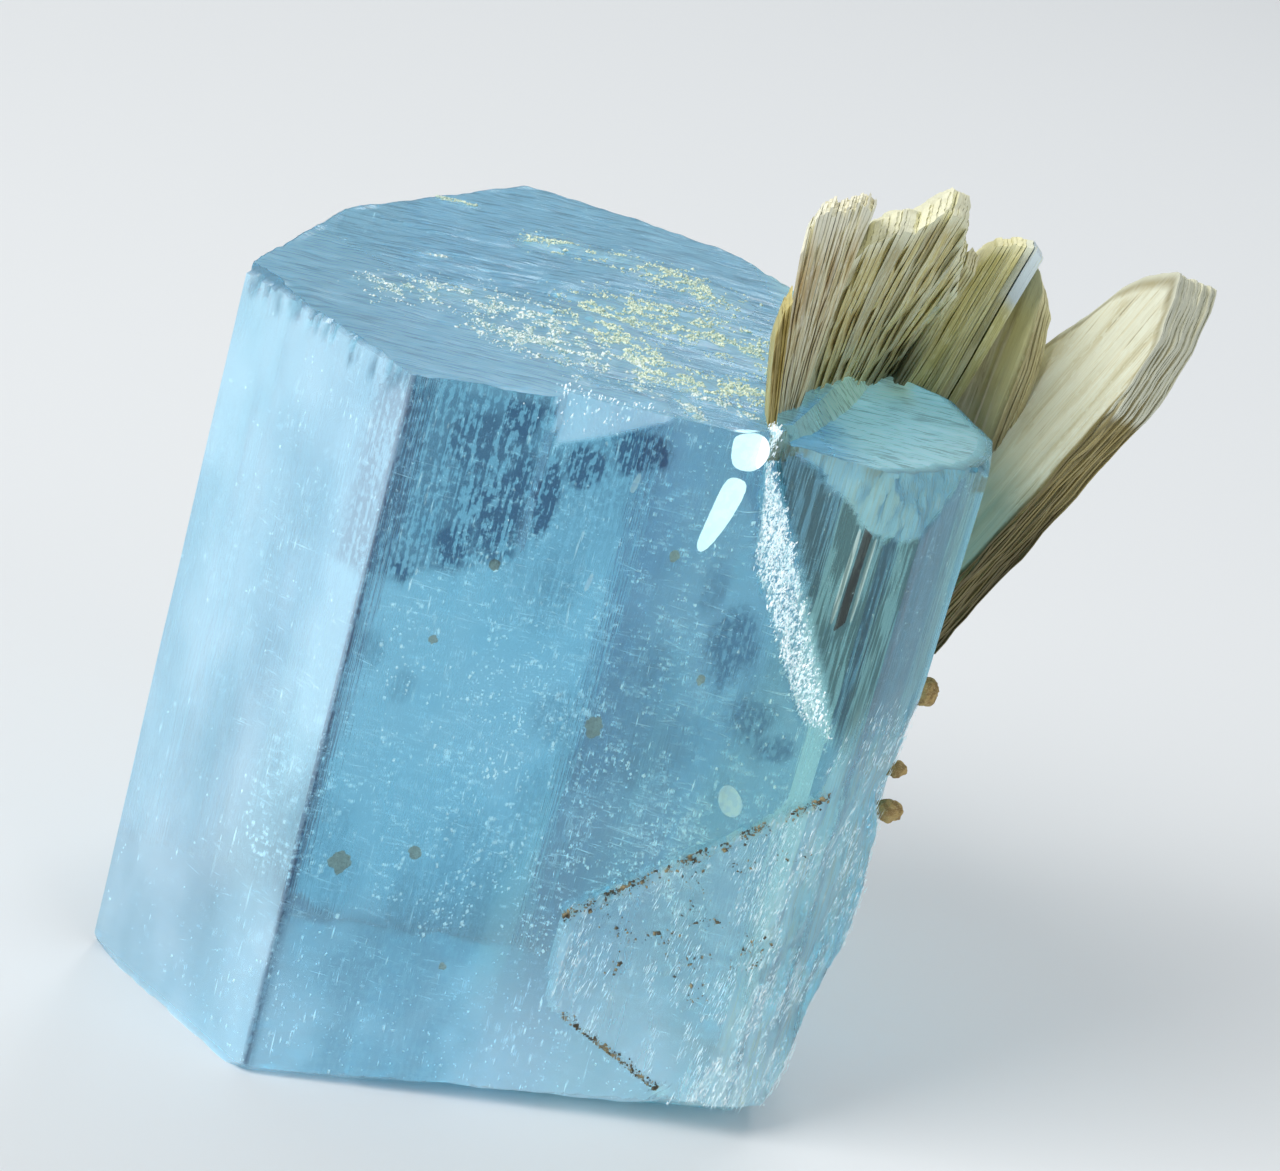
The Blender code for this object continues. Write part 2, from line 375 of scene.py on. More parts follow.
def planesAt(shape, z):
    # each plane's azimuth and distance from the crystal's axis at height z; slanted planes draw in
    planes = list(shape["faces"].items())
    for azimuth, distance, slope in shape["rim"]:
        planes.append((azimuth, distance + (shape["top"] - z) / math.tan(math.radians(slope))))
    for azimuth, distance, slope in shape["foot"]:
        planes.append((azimuth, distance + (z - shape["base"]) / math.tan(math.radians(slope))))
    return planes


farAway = 60.0


def mainReach(angle, z):
    # least distance from the axis, along this angle, to any of the main crystal's planes
    planes = planesAt(mainCrystal, z)
    azimuth, greatest, atRim, slope = mainCrystal["joint"]
    distance = atRim + np.maximum(40 - z, 0) * math.tan(math.radians(slope))
    planes.append((azimuth, np.minimum(greatest, distance)))
    azimuth, cosine, ahead, depth = mainCrystal["bevel"]
    depth = depth - 1.6 * smoothStep(-z, -27, -24.3)      # the bevel beside the seam runs out below height 27
    planes.append((azimuth, cosine * (seamX(z) - mainCrystal["axis"][0]) + ahead - depth))
    reach = np.full(np.broadcast(angle, z).shape, farAway)
    for azimuth, distance in planes:
        facing = np.cos(angle - math.radians(azimuth))
        reach = np.minimum(reach, np.where(facing > 0.05, distance / np.maximum(facing, 0.05), farAway))
    return reach


def sideReach(angle, z):
    # where a ray from the main axis leaves the side crystal, or 0 if it misses it
    gap = np.array(mainCrystal["axis"]) - np.array(sideCrystal["axis"])
    leave = np.full(np.broadcast(angle, z).shape, farAway)
    enter = np.zeros(leave.shape)
    for azimuth, distance in planesAt(sideCrystal, z):
        facing = np.cos(angle - math.radians(azimuth))
        safe = np.where(np.abs(facing) < 1e-4, 1e-4, facing)
        crossing = (distance - heading(azimuth)[:2] @ gap) / safe
        leave = np.where(facing > 1e-4, np.minimum(leave, crossing), leave)
        enter = np.where(facing < -1e-4, np.maximum(enter, crossing), enter)
    return np.where(leave > enter, leave, 0.0)


def around(angle, reach):
    # x and y at this distance from the main axis: axis + reach * (cos, sin)
    return mainCrystal["axis"][0] + reach * np.cos(angle), mainCrystal["axis"][1] + reach * np.sin(angle)


def polar(x, y):
    # angle and distance from the main axis
    gapX, gapY = x - mainCrystal["axis"][0], y - mainCrystal["axis"][1]
    return np.arctan2(gapY, gapX), np.hypot(gapX, gapY)


def columnAngles():
    # rays spread evenly along the outline at height 30, with one on each corner
    fine = np.radians(np.arange(0, 360, 0.05))
    reach = np.maximum(mainReach(fine, 30.0), sideReach(fine, 30.0))
    x, y = reach * np.cos(fine), reach * np.sin(fine)
    stepX, stepY = np.roll(x, -1) - x, np.roll(y, -1) - y
    course = np.arctan2(stepY, stepX)
    turning = np.abs(np.angle(np.exp(1j * (np.roll(course, -3) - course))))
    isCorner = (turning > 0.1) & (turning >= np.roll(turning, 1)) & (turning > np.roll(turning, -1))
    corners = np.sort((np.flatnonzero(isCorner) + 2) % len(fine))
    along = np.concatenate([[0], np.cumsum(np.hypot(stepX, stepY))])
    bounds = np.concatenate([along[corners], [along[corners[0]] + along[-1]]])
    pieces = []
    for first, last in zip(bounds[:-1], bounds[1:]):
        count = max(2, round((last - first) / crystalGrid["spacing"]))
        pieces.append(np.linspace(first, last, count, endpoint=False))
    return np.interp(np.concatenate(pieces) % along[-1], along, np.concatenate([fine, [2 * math.pi]]))


def frontMarks(x, y, z):
    # shares from 0 to 1 for what the front shows; chip is a height in millimetres, streak noise from -1 to 1
    place = frontPlaces
    front = smoothStep(-y, -3.0, -1.2)
    left, right = place["plateSides"]
    plate = smoothStep(right - x, 0, 0.6) * front
    for inside in (lineHeight(place["plateTop"], x) - z, z - lineHeight(place["plateFoot"], x),
                   x - left - 0.18 * np.maximum(9 - z, 0)):
        plate = plate * smoothStep(inside, 0, 0.22)
    band = smoothStep(x - readOff(place["bandLeft"], z), -0.15, 0.35) * smoothStep(seamX(z) - x, -0.5, 0.1)
    band = band * smoothStep(z, 24.6, 26.5) * smoothStep(-y, -2.4, -1.6)
    chip = np.maximum(z - readOff(place["chipFoot"], x), 0) * front
    ribbed = smoothStep(x - 0.12 * (z - 14), 26.3, 27.6) * smoothStep(-z, -29, -23) * smoothStep(-y, -9, -4)
    streak = cloudNoise(x, y, z, (0.7, 0.7, 6), 58, 3)
    sideFront = smoothStep(x, seamX(z) + 0.1, seamX(z) + 0.5) * smoothStep(6.5 - y, 0, 2)
    facet = sideFront * smoothStep(z - readOff(place["facetFoot"], x) - 0.5 * streak, -0.1, 0.3)
    return {"plate": plate, "band": band, "chip": chip, "chipped": np.minimum(chip * 4, 1), "ribbed": ribbed,
            "front": front, "streak": streak, "sideFront": sideFront, "facet": facet}


def leftShare(x, y, low, high):
    # 1 on the front-left face of the prism; low and high say how near its front edge that begins
    return smoothStep(-(x + 0.577 * y), low, high) * smoothStep(14.5 - y, 0, 1.5)


def rimTeeth(x, y, z):
    # noise along the left-hand rim that cuts notches in it
    return cloudNoise(x, 1.7 * y, z, (0.5, 0.5, 5), 23, 2)


def topHeight(x, y):
    # a shallow dome toward the back right, terraces that step across it, fine striations and a faint swell
    depth = reliefDepth
    slant = y + 0.2 * x + 1.3 * cloudNoise(x, y, 0, (6, 5, 5), 31, 2)
    crust = crustCover(x, y) * (1 + cloudNoise(x, y, 0, (0.45, 0.45, 1), 37, 2))
    return (
        mainCrystal["top"] - 0.2
        + depth["dome"] * np.exp(-((x - 18) ** 2 + (y - 22) ** 2) / 150)
        + depth["terrace"] * sum(smoothStep(slant, level, level + 0.3) for level in terraceLevels)
        + depth["topStriation"] * cloudNoise(x, y + 0.2 * x, 0, (3.5, 0.42, 1), 35, 2)
        + depth["swell"] * cloudNoise(x, y, 0, (2.2, 2.2, 2), 33, 3)
        + depth["crust"] * crust
        + 0.05 * np.minimum(x + 0.55 * y - 1.4, 0)      # falls away beside the left-hand rim
    )


def wallRelief(x, y, z, marks):
    # millimetres outward: striations up the prism, slow waves, the step, the plate, chips and ribs, all added
    depth = reliefDepth
    stepped = np.clip(x / 7.8, 0, 1) * smoothStep(7.95 - x, 0, 0.2) * smoothStep(z, 31.5, 34) * marks["front"]
    flutes = cloudNoise(x - 0.22 * z, 0.4 * y, z, (0.7, 2.5, 4.5), 11, 4)      # leaning a little
    flaked = cloudNoise(x + 0.3 * z, y, z, (0.5, 0.5, 2.4), 17, 4)
    chipGrain = cloudNoise(x + 0.5 * z, y, z, (0.5, 0.5, 1.2), 19, 3)
    facetGrain = cloudNoise(x - 0.1 * z, y, z, (0.5, 0.6, 1.8), 27, 3)
    plateGrain = cloudNoise(x, y, z, (0.45, 0.45, 3), 13, 3)
    notches = leftShare(x, y, -1.0, 0.2) * smoothStep(z, 40.0, 41.8) * smoothStep(rimTeeth(x, y, z), 0.0, 0.5)
    dent = np.exp(-((z - 20.2) / 1.7) ** 2) * smoothStep(x, 31.6, 33.2) * smoothStep(9.5 - y, 0, 3)
    return (
        depth["striation"] * cloudNoise(x, y, z, (0.75, 0.75, 16), 3, 2)
        + depth["fineStriation"] * cloudNoise(x, y, z, (0.4, 0.4, 9), 5, 2)
        + depth["wave"] * cloudNoise(x, y, z, (5, 5, 8), 7, 2)
        + marks["plate"] * (depth["plate"] + depth["plateGrain"] * plateGrain)
        + marks["band"] * (depth["band"] * flaked - depth["bandSunk"])
        + marks["ribbed"] * (depth["flute"] * flutes - depth["fluteSunk"])
        + marks["facet"] * (depth["facet"] * facetGrain - depth["facetSunk"])
        + depth["chipGrain"] * np.minimum(marks["chip"], 1) * chipGrain - depth["chip"] * marks["chip"]
        + depth["back"] * smoothStep(y, 16, 22) * cloudNoise(x, y, z, (1.6, 1.6, 30), 25, 3)
        - depth["step"] * stepped - depth["notch"] * notches - depth["dent"] * dent
    )


def upperEnd(angle, rim, high, onSide):
    # rows from the rim in to the shelf where the main crystal's own top begins, then to the axis
    rimRows, rows = crystalGrid["rimRows"], crystalGrid["topRows"]
    shelf = np.minimum(mainReach(angle, 41.4), rim - 0.9)
    fromRim = np.concatenate([np.linspace(1, 0, rimRows + 2)[1:-1], np.zeros(rows - rimRows)])[:, None]
    fromAxis = np.concatenate([np.ones(rimRows), np.linspace(1, 0.02, rows - rimRows)])[:, None]
    reach = np.where(fromRim > 0, shelf + (rim - shelf) * fromRim, (shelf - 0.12) * fromAxis)
    x, y = around(angle, reach)
    above = topHeight(x, y)
    sideTop = sideCrystal["top"] + 0.09 * cloudNoise(x - 0.5 * y, y + 0.35 * x, 0, (3.2, 0.5, 1), 47, 3)
    height = np.where(fromRim > 0, np.where(onSide, sideTop, above), above)
    blend = smoothStep(rim - reach, 0, 0.5)
    height = high * (1 - blend) + height * blend
    height = np.where((fromRim > 0) | ~onSide[None, :], height, above)
    return np.stack([x, y, height], axis=-1)


def lowerEnd(angle, heel, low):
    # rows from the foot's edge in to a flat break at height 0, the innermost first
    inward = np.linspace(1, 0.02, crystalGrid["footRows"] + 1)[1:, None]
    reach = np.minimum(heel - 0.25, mainReach(angle, 0.0) * 0.985) * (1 - (1 - inward) ** 1.5)
    x, y = around(angle, reach)
    drop = smoothStep(heel - reach, 0.2, 1.8)
    broken = 0.06 + 0.05 * cloudNoise(x, y, 0, (1.2, 1.2, 1), 53, 3)
    height = np.maximum(low * (1 - drop) + broken * np.minimum(drop, 1), 0.0)
    return np.stack([x, y, height], axis=-1)[::-1]


def crystalMesh():
    # rows of points round the main axis at the greater of the two crystals' reaches, from the foot to the top
    angle = columnAngles()
    columns = len(angle)
    onSide = sideReach(angle, 40.5) > mainReach(angle, 40.5) + 0.02
    footSide = sideReach(angle, 2.4) > mainReach(angle, 2.4) + 0.02
    rimX, rimY = around(angle, mainReach(angle, mainCrystal["top"]))
    high = np.where(onSide, sideCrystal["top"], topHeight(rimX, rimY))
    high = high + 0.10 * cloudNoise(rimX, rimY, 0, (1.3, 1.3, 1), 41, 3)
    footX, footY = around(angle, mainReach(angle, 1.0))
    low = np.where(footSide, sideCrystal["base"], 0)
    low = np.where(footY < 3, readOff(frontPlaces["wornFoot"], footX), low)
    low = np.maximum(low + 0.25 * cloudNoise(footX, footY, 0, (1.6, 1.6, 1), 43, 3), 0.0)

    share = np.linspace(0, 1, crystalGrid["wallRows"])
    share = share - 0.035 * np.sin(2 * math.pi * share)       # rows crowd at both ends
    z = low + (high - low) * share[:, None]
    reach = np.maximum(mainReach(angle, z), sideReach(angle, z))
    x, y = around(angle, reach)
    reach = reach + wallRelief(x, y, z, frontMarks(x, y, z))
    wall = np.stack([*around(angle, reach), z], axis=-1)

    below, top = lowerEnd(angle, reach[0], low), upperEnd(angle, reach[-1], high, onSide)
    axis = np.array(mainCrystal["axis"])
    poles = [[*axis, 0.02], [*axis, topHeight(*axis[:, None])[0]]]
    rings = np.concatenate([below, wall, top])
    points = np.concatenate([rings.reshape(-1, 3), poles])
    wallRow = np.zeros(len(points), bool)
    wallRow[len(below) * columns:(len(below) + len(wall)) * columns] = True
    return points, closedRings(len(rings), columns), crystalMarks(*points.T, wallRow)


# painted dark reflections behind the front face: x, z, half width, half height, strength
darkPatches = (
    (6.2, 40.4, 1.3, 1.5, 1.0), (5.0, 36.4, 1.0, 1.3, 0.6), (1.8, 31.2, 1.0, 1.0, 0.75),
    (4.6, 32.8, 1.2, 1.5, 0.8), (2.4, 39.0, 0.6, 1.8, 0.45), (8.6, 36.4, 0.7, 2.6, 0.9),
    (10.3, 38.4, 1.3, 1.4, 0.9), (12.9, 39.6, 1.8, 1.2, 0.9), (1.4, 26.0, 1.0, 1.2, 0.3),
    (3.6, 24.4, 0.8, 1.1, 0.25), (5.0, 39.0, 2.6, 2.2, 0.7),
    (20.6, 29.5, 1.5, 2.6, 0.55), (22.6, 25.6, 1.8, 1.4, 0.5), (24.6, 24.2, 1.2, 0.8, 0.5),
    (12.0, 24.0, 1.4, 1.8, 0.28), (10.6, 31.5, 1.2, 1.8, 0.35), (16.4, 27.4, 1.6, 1.8, 0.3),
    (18.8, 33.0, 0.8, 1.6, 0.35),
)


def sideShares(x, z, marks, wallRow):
    # the side crystal's front: its rough facet, the painted dark reflection on the front under that, and the
    # crack in it
    streak, front, facet = marks["streak"], marks["sideFront"] * wallRow, marks["facet"] * wallRow
    gloom = front * (1 - facet) * (1 - 0.35 * smoothStep(x, 29.0, 30.5)) * smoothStep(33.4 - x, 0, 0.7)
    gloom = gloom * smoothStep(z + 0.9 * (x - 26), 24.5, 28.5) + 0.4 * facet * smoothStep(-streak, -0.1, 0.35)
    crack = between(x, 25.95, 26.65, 0.2, 0.2) * between(z, 31.2, 37.7, 0.8, 0.5)
    frayed = between(x, 25.0, 26.5, 0.6, 0.6) * between(z, 28.6, 32.2, 1.6, 0.9)
    return facet, gloom, np.maximum(crack, 0.6 * frayed * (streak > 0)) * front


def shadeShare(x, z, marks, cloud):
    # painted dark reflections: dark blue under the upper rim, in patches and along the front-left edge, none
    # on the chip, band or plate
    boundary = 29.6 + 0.32 * np.clip(x, 0, 7.6) + 0.5 * cloudNoise(x, 0, z, (2, 1, 2), 60, 2)
    shade = 0.55 * smoothStep(z - boundary, 0, 0.9) * smoothStep(8.0 - x, 0, 0.5)
    shade = shade + 0.32 * smoothStep(z, 30, 38) * between(x, 7.6, 15.5, 0.5, 2.5)
    shade = shade + 0.20 * smoothStep(cloud, 0.5, 0.25)
    wander = 0.5 * cloudNoise(x, 0, z, (0.9, 1, 1.6), 61, 2)
    for px, pz, halfWidth, halfHeight, strength in darkPatches:
        away = ((x - px) / halfWidth) ** 2 + ((z - pz) / halfHeight) ** 2 + wander
        shade = np.maximum(shade, strength * smoothStep(1.5 - away, 0, 1.2))
    shade = np.maximum(shade, 0.75 * between(x, -0.1, 0.75, 0.2, 0.5))
    return shade * (1 - marks["chipped"]) * (1 - marks["band"]) * (1 - marks["plate"])


def crystalMarks(x, y, z, wallRow):
    # shares from 0 to 1 that the material reads, from where each point lies
    marks = frontMarks(x, y, z)
    streak, ribbed, plate, chipped = [marks[name] for name in ("streak", "ribbed", "plate", "chipped")]
    front = marks["front"] * wallRow
    onTop = np.where(wallRow, 0, smoothStep(z, 39.5, 40))
    onSide = smoothStep(x + 0.2 * (40 - z), 23, 26)
    cloud = 0.5 + 0.5 * cloudNoise(x, y, z, (5, 5, 8), 57, 4)
    facet, gloom, crack = sideShares(x, z, marks, wallRow)

    # the front-left face, its rim with the notches, and the break at the foot
    leftFace = leftShare(x, y, -0.35, 0.1)
    leftRim = smoothStep(-(x + 0.75 * y), -14, -9) * smoothStep(z, 41.0, 41.7) * (y < 20)
    leftNotch = leftFace * smoothStep(z + 0.8 * streak, 39.6, 41.6)
    tick = leftFace * smoothStep(z + 0.9 * streak, 40.2, 41.4) * smoothStep(rimTeeth(x, y, z), -0.1, 0.3)
    breakage = np.where(wallRow, smoothStep(-z, -0.9, -0.1), smoothStep(-z, -3, -2.4))
    upperEdge = np.where(wallRow, smoothStep(z, 41.2, 41.9), 0) * (x < 20)

    # the etched back, the crust's bed, and everything frosted together
    etched = np.clip(0.55 + 0.3 * cloudNoise(x, y, z, (4, 4, 7), 59, 3) + 0.25 * streak, 0, 1)
    etchedBack = between(np.degrees(polar(x, y)[0]), -20, 180, 20, 12) * wallRow * etched
    crust = crustCover(x, y) * onTop
    frost = np.maximum.reduce([
        marks["band"], 0.8 * chipped, (0.5 + 0.25 * streak) * ribbed, (0.42 + 0.2 * streak) * plate,
        0.9 * breakage, 0.35 * leftRim, 0.3 * leftNotch, 0.7 * facet, 0.35 * upperEdge, etchedBack,
        0.65 * crust,
    ])
    shade = shadeShare(x, z, marks, cloud)
    ribShade = 0.45 * ribbed * wallRow * smoothStep(-streak, 0.0, 0.4)
    seen = shade * front * smoothStep(seamX(z) - x, 0, 0.4)
    stain = ribbed * (0.30 + 0.5 * smoothStep(streak, -0.1, 0.6)) + 0.5 * facet
    stain = stain + plate * smoothStep(lineHeight(frontPlaces["plateTop"], x) - z, 1.2, 0.0)
    # the haze share also drives a painted glow, strongest on the left face, standing in for light scattered
    # back
    hazeAndGlow = leftFace * (1 - 0.7 * tick) + 0.16 * plate + 0.20 * ribbed + 0.65 * chipped * front
    darkened = np.maximum.reduce([seen, crack, 0.7 * tick, ribShade])
    hazeAndGlow = hazeAndGlow + (0.48 * smoothStep(-z, -14, -2) + 0.05) * front * (1 - np.clip(darkened, 0, 1))
    green = np.maximum(onSide, 0.5 * smoothStep(x, 13, 19) * front)
    onLevel = np.stack([x / 2.4, (y + 0.2 * x) / 0.20, z / 0.6], axis=-1)
    onWall = np.stack([(x + 0.2 * y) / 0.20, y / 0.20, z / 5.0], axis=-1)
    shares = {"frost": frost, "shade": darkened, "stain": stain, "hazeAndGlow": hazeAndGlow, "crown": onTop, "green": green,
              "cloud": cloud, "gloom": gloom, "crust": crust}
    shares = {name: np.clip(value, 0, 1) for name, value in shares.items()}
    return shares | {"grain": np.where(wallRow[:, None], onWall, onLevel)}


aquamarineLook = {
    "clear": (0.48, 0.86, 0.97),
    "darkReflection": (0.015, 0.075, 0.15),        # painted dark reflections: dark blue patches under the upper rim
    "milky": (0.74, 0.97, 1.0),
    "crown": (0.49, 0.83, 0.96),         # the two flat tops
    "greenish": (0.57, 0.92, 0.82),      # the side crystal
    "gloomy": (0.035, 0.085, 0.075),     # painted dark reflection on the side crystal's front
    "frosted": (0.68, 0.95, 1.0),
    "crusted": (0.60, 0.80, 0.72),
    "stained": (0.66, 0.66, 0.42),
    "sideCrown": (0.46, 0.70, 0.68),     # the side crystal's top
    "sideFrost": (0.64, 0.84, 0.80),
    "glow": (0.26, 0.31, 0.35),          # painted glow: emission on the hazy left face and other hazy places, standing in for light scattered back
    "sheen": (0.045, 0.125, 0.165),      # painted sheen: the same emission on the main top
    "sideSheen": (0.13, 0.24, 0.22),     # and on the side crystal's top
    "absorbed": (0.03, 0.66, 0.84),      # what thick crystal lets through
    "density": 48.0,
    "clarity": 0.82,
    "index": 1.575,
}


def aquamarineMaterial():
    # clear blue, tinted, frosted, stained, darkened by painted dark reflections and brightened by a painted
    # glow, all by the mesh's marks, with growth lines up the prism
    look = aquamarineLook
    m = Maker("aquamarine")
    names = ("frost", "shade", "stain", "hazeAndGlow", "crown", "cloud", "green", "gloom")
    frost, shade, stain, hazeAndGlow, crown, cloud, green, gloom = [m.mark(name) for name in names]
    lines = m.noise(m.mark("grain", "Vector"), detail=2, roughness=0.7)
    etch = m.noise((0.3, 0.3, 0.45), detail=2)
    colour = m.mix(green, look["clear"], look["greenish"])
    colour = m.mix(cloud.above(0.45, 0.8) * 0.25 + hazeAndGlow * 0.4, colour, look["milky"])
    colour = m.mix(crown, colour, m.mix(green, look["crown"], look["sideCrown"]))
    colour = m.mix(crown * lines.above(0.46, 0.60) * 0.6, colour, look["frosted"])
    colour = m.mix(crown * (1 - lines.above(0.36, 0.46)) * 0.5, colour, look["gloomy"])
    # painted dark reflections on the front face
    colour = m.mix(shade * (0.36 + (lines + etch).above(0.86, 1.06)), colour, look["darkReflection"])
    # painted dark reflection on the side crystal's front
    colour = m.mix(gloom * (0.66 + 0.34 * lines.above(0.44, 0.54)), colour, look["gloomy"])
    colour = m.mix(frost * 0.8, colour, m.mix(green, look["frosted"], look["sideFrost"]))
    colour = m.mix(m.mark("crust") * etch.above(0.4, 0.6), colour, look["crusted"])
    colour = m.mix(stain * lines.above(0.46, 0.62), colour, look["stained"])
    height = lines * (0.16 + 0.6 * frost + 0.3 * crown)
    roughness = 0.07 + 0.30 * frost + 0.2 * stain + 0.08 * hazeAndGlow * cloud
    roughness = roughness + 0.16 * crown + 0.25 * crown * green + 0.06 * lines
    # painted glow and sheen: emission on hazy places and on the tops, which are no lamps
    glow = m.mix(hazeAndGlow * (0.42 + 0.72 * cloud), (0.0, 0.0, 0.0), look["glow"])
    sheen = m.mix(green, look["sheen"], look["sideSheen"])
    glow = m.mix(crown * (0.55 + 0.9 * lines.above(0.40, 0.62)), glow, sheen)
    m.finish(
        Base_Color=colour, Roughness=roughness, IOR=look["index"], Transmission_Weight=look["clarity"],
        Normal=m.bump(height, 0.10), Emission_Color=glow, Emission_Strength=1.0,
    )
    absorbed = {"Color": look["absorbed"], "Density": look["density"]}
    volume = m.node("ShaderNodeVolumeAbsorption", {}, absorbed)
    m.tree.links.new(volume.socket, m.tree.nodes["Material Output"].inputs["Volume"])
    return m.material


bodyPoints, faces, bodyMarks = crystalMesh()
aquamarine = aquamarineMaterial()
crystal = newPiece("crystal_body", bodyPoints, faces, aquamarine, "aquamarine", sharp=24, marks=bodyMarks)
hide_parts("aquamarine_crystal")

# the mica books: stacks of torn sheets

usualBook = {
    # every book also has these: roots and tips, the line of front edges at each end, first sheet to last
    # (share, point); azimuth, which way the sheets run back; breadth, how far back, by height; crown, how
    # high, by distance back; sheets, how many; ragged and torn, how uneven the front edge and the tip are;
    # shadow, how dark the gaps between sheets look
    "setBack": ((0, 0), (1, 0)),      # how far the front edges draw back, by height
    "bow": (0.0, 0.0),      # how far each end of the stack bulges sideways
    "gloom": (2, 3),        # shares of the stack between which the root gets painted shade; past 1 is not at all
    "silverHighlight": (2, 3),       # shares between which the top gets a painted silvery highlight
    "bleached": 0.8,        # how many millimetres of the tip are whitened
    "tinted": 0.0,          # how brown the edges are
}
micaBooks = {
    "mica_sheet_ochre": {
        "roots": ((0, (20.0, 1.25, 40.0)), (1, (20.45, 1.6, 40.0))),
        "tips": ((0, (18.65, 1.25, 47.4)), (0.5, (18.8, 1.4, 48.8)), (1, (19.15, 1.7, 49.6))),
        "azimuth": 82, "breadth": ((0, 2.6), (1, 3.4)), "crown": ((0, 0.96), (0.4, 1), (1, 0.8)),
        "bow": (-0.10, -0.05), "sheets": 6, "ragged": 0.16, "torn": 0.05, "shadow": 0.5, "bleached": 0.6,
    },
    "mica_book_left": {
        "roots": ((0, (21.0, 3.4, 39.2)), (1, (22.4, 5.6, 39.2))),
        "tips": ((0, (19.5, 4.0, 52.4)), (0.18, (20.0, 4.1, 53.6)), (0.4, (21.2, 4.6, 53.9)),
                 (0.66, (22.5, 5.0, 54.4)), (0.8, (23.3, 5.3, 53.9)), (0.86, (23.2, 5.6, 52.7)),
                 (1, (22.5, 6.4, 50.1))),
        "azimuth": 70, "breadth": ((0, 4.8), (1, 5.6)), "crown": ((0, 0.985), (0.3, 1), (1, 0.86)),
        "bow": (-0.42, -0.25), "sheets": 26, "ragged": 0.20, "torn": 0.055, "shadow": 0.25, "bleached": 3.4,
    },
    "mica_book_middle": {
        "roots": ((0, (23.2, 7.6, 38.8)), (0.33, (25.4, 10.4, 38.8)), (0.66, (27.8, 13.6, 38.8)),
                  (1, (30.4, 17.2, 38.8))),
        "tips": ((0, (22.9, 6.4, 48.8)), (0.06, (23.2, 6.4, 50.2)), (0.16, (24.2, 6.6, 51.6)),
                 (0.28, (25.6, 7.2, 52.4)), (0.38, (26.9, 7.9, 52.2)), (0.46, (27.8, 8.4, 52.9)),
                 (0.54, (28.8, 9.0, 53.5)), (0.64, (30.2, 9.8, 52.9)), (0.72, (30.6, 10.3, 51.4)),
                 (0.78, (30.6, 10.9, 50.3)), (0.84, (31.2, 11.4, 50.0)), (1, (31.8, 12.6, 47.4))),
        "azimuth": 76, "breadth": ((0, 5.6), (1, 7.6)), "crown": ((0, 0.97), (0.3, 1), (1, 0.82)),
        "bow": (-0.5, -0.25), "sheets": 30, "ragged": 0.30, "torn": 0.03, "shadow": 0.35,
        "gloom": (0.5, 0.8), "bleached": 1.4,
    },
    "mica_sliver": {
        "roots": ((0, (30.0, 15.6, 38.8)), (1, (30.5, 15.3, 38.8))),
        "tips": ((0, (31.9, 12.6, 49.9)), (1, (32.5, 12.5, 49.4))),
        "azimuth": 78, "breadth": ((0, 2.2), (1, 2.8)), "crown": ((0, 0.95), (0.4, 1), (1, 0.85)),
        "sheets": 4, "ragged": 0.08, "torn": 0.03, "shadow": 0.5, "gloom": (-1, 0), "bleached": 0.6,
    },
    "mica_book_centre": {
        "roots": ((0, (30.2, 16.0, 36.9)), (1, (33.2, 14.4, 36.9))),
        "tips": ((0, (33.6, 15.2, 49.3)), (0.12, (34.0, 15.0, 50.2)), (0.5, (34.9, 14.6, 50.6)),
                 (0.85, (35.8, 14.0, 50.8)), (1, (36.4, 13.6, 50.2))),
        "azimuth": 76, "breadth": ((0, 3.6), (1, 4.2)), "crown": ((0, 0.99), (0.3, 1), (1, 0.9)),
        "bow": (0.0, 0.1), "sheets": 9, "ragged": 0.14, "torn": 0.02, "shadow": 0.45,
        "gloom": (0.0, 1.6), "silverHighlight": (0.62, 0.80),
    },
    "mica_book_tan": {
        "roots": ((0, (38.0, 14.9, 32.4)), (1, (36.6, 14.6, 32.6))),
        "tips": ((0, (38.7, 14.3, 47.4)), (1, (37.6, 14.0, 49.0))),
        "azimuth": 104, "breadth": ((0, 4.6), (1, 5.6)),
        "crown": ((0, 0.93), (0.2, 0.985), (0.45, 1.0), (0.8, 0.98), (1, 0.93)),
        "setBack": ((0, 0), (0.7, 0), (1, 0.9)), "bow": (0.25, 0.25),
        "sheets": 7, "ragged": 0.10, "torn": 0.015, "shadow": 0.3, "gloom": (-1, 0),
    },
    "mica_book_right": {
        "roots": ((0, (34.4, 11.3, 26.8)), (1, (36.9, 12.2, 25.8))),
        "tips": ((0, (44.2, 8.1, 51.0)), (1, (47.2, 9.3, 50.2))),
        "azimuth": 112, "breadth": ((0, 4.4), (0.3, 6.4), (0.5, 7.6), (0.65, 7.9), (1, 7.8)),
        "crown": ((0, 0.70), (0.02, 0.74), (0.13, 0.88), (0.3, 0.97), (0.4, 1.0), (0.63, 0.94), (0.77, 0.87),
                  (0.80, 0.80), (0.92, 0.71), (1, 0.62)),
        "setBack": ((0, 0.5), (0.3, 0.35), (0.5, 0.2), (0.7, 0), (1, 0)), "bow": (0.15, -0.2),
        "sheets": 22, "ragged": 0.16, "torn": 0.012, "shadow": 0.85, "gloom": (0.3, 1.4), "tinted": 0.9,
    },
}
micaGrid = {"along": 20, "across": 36}
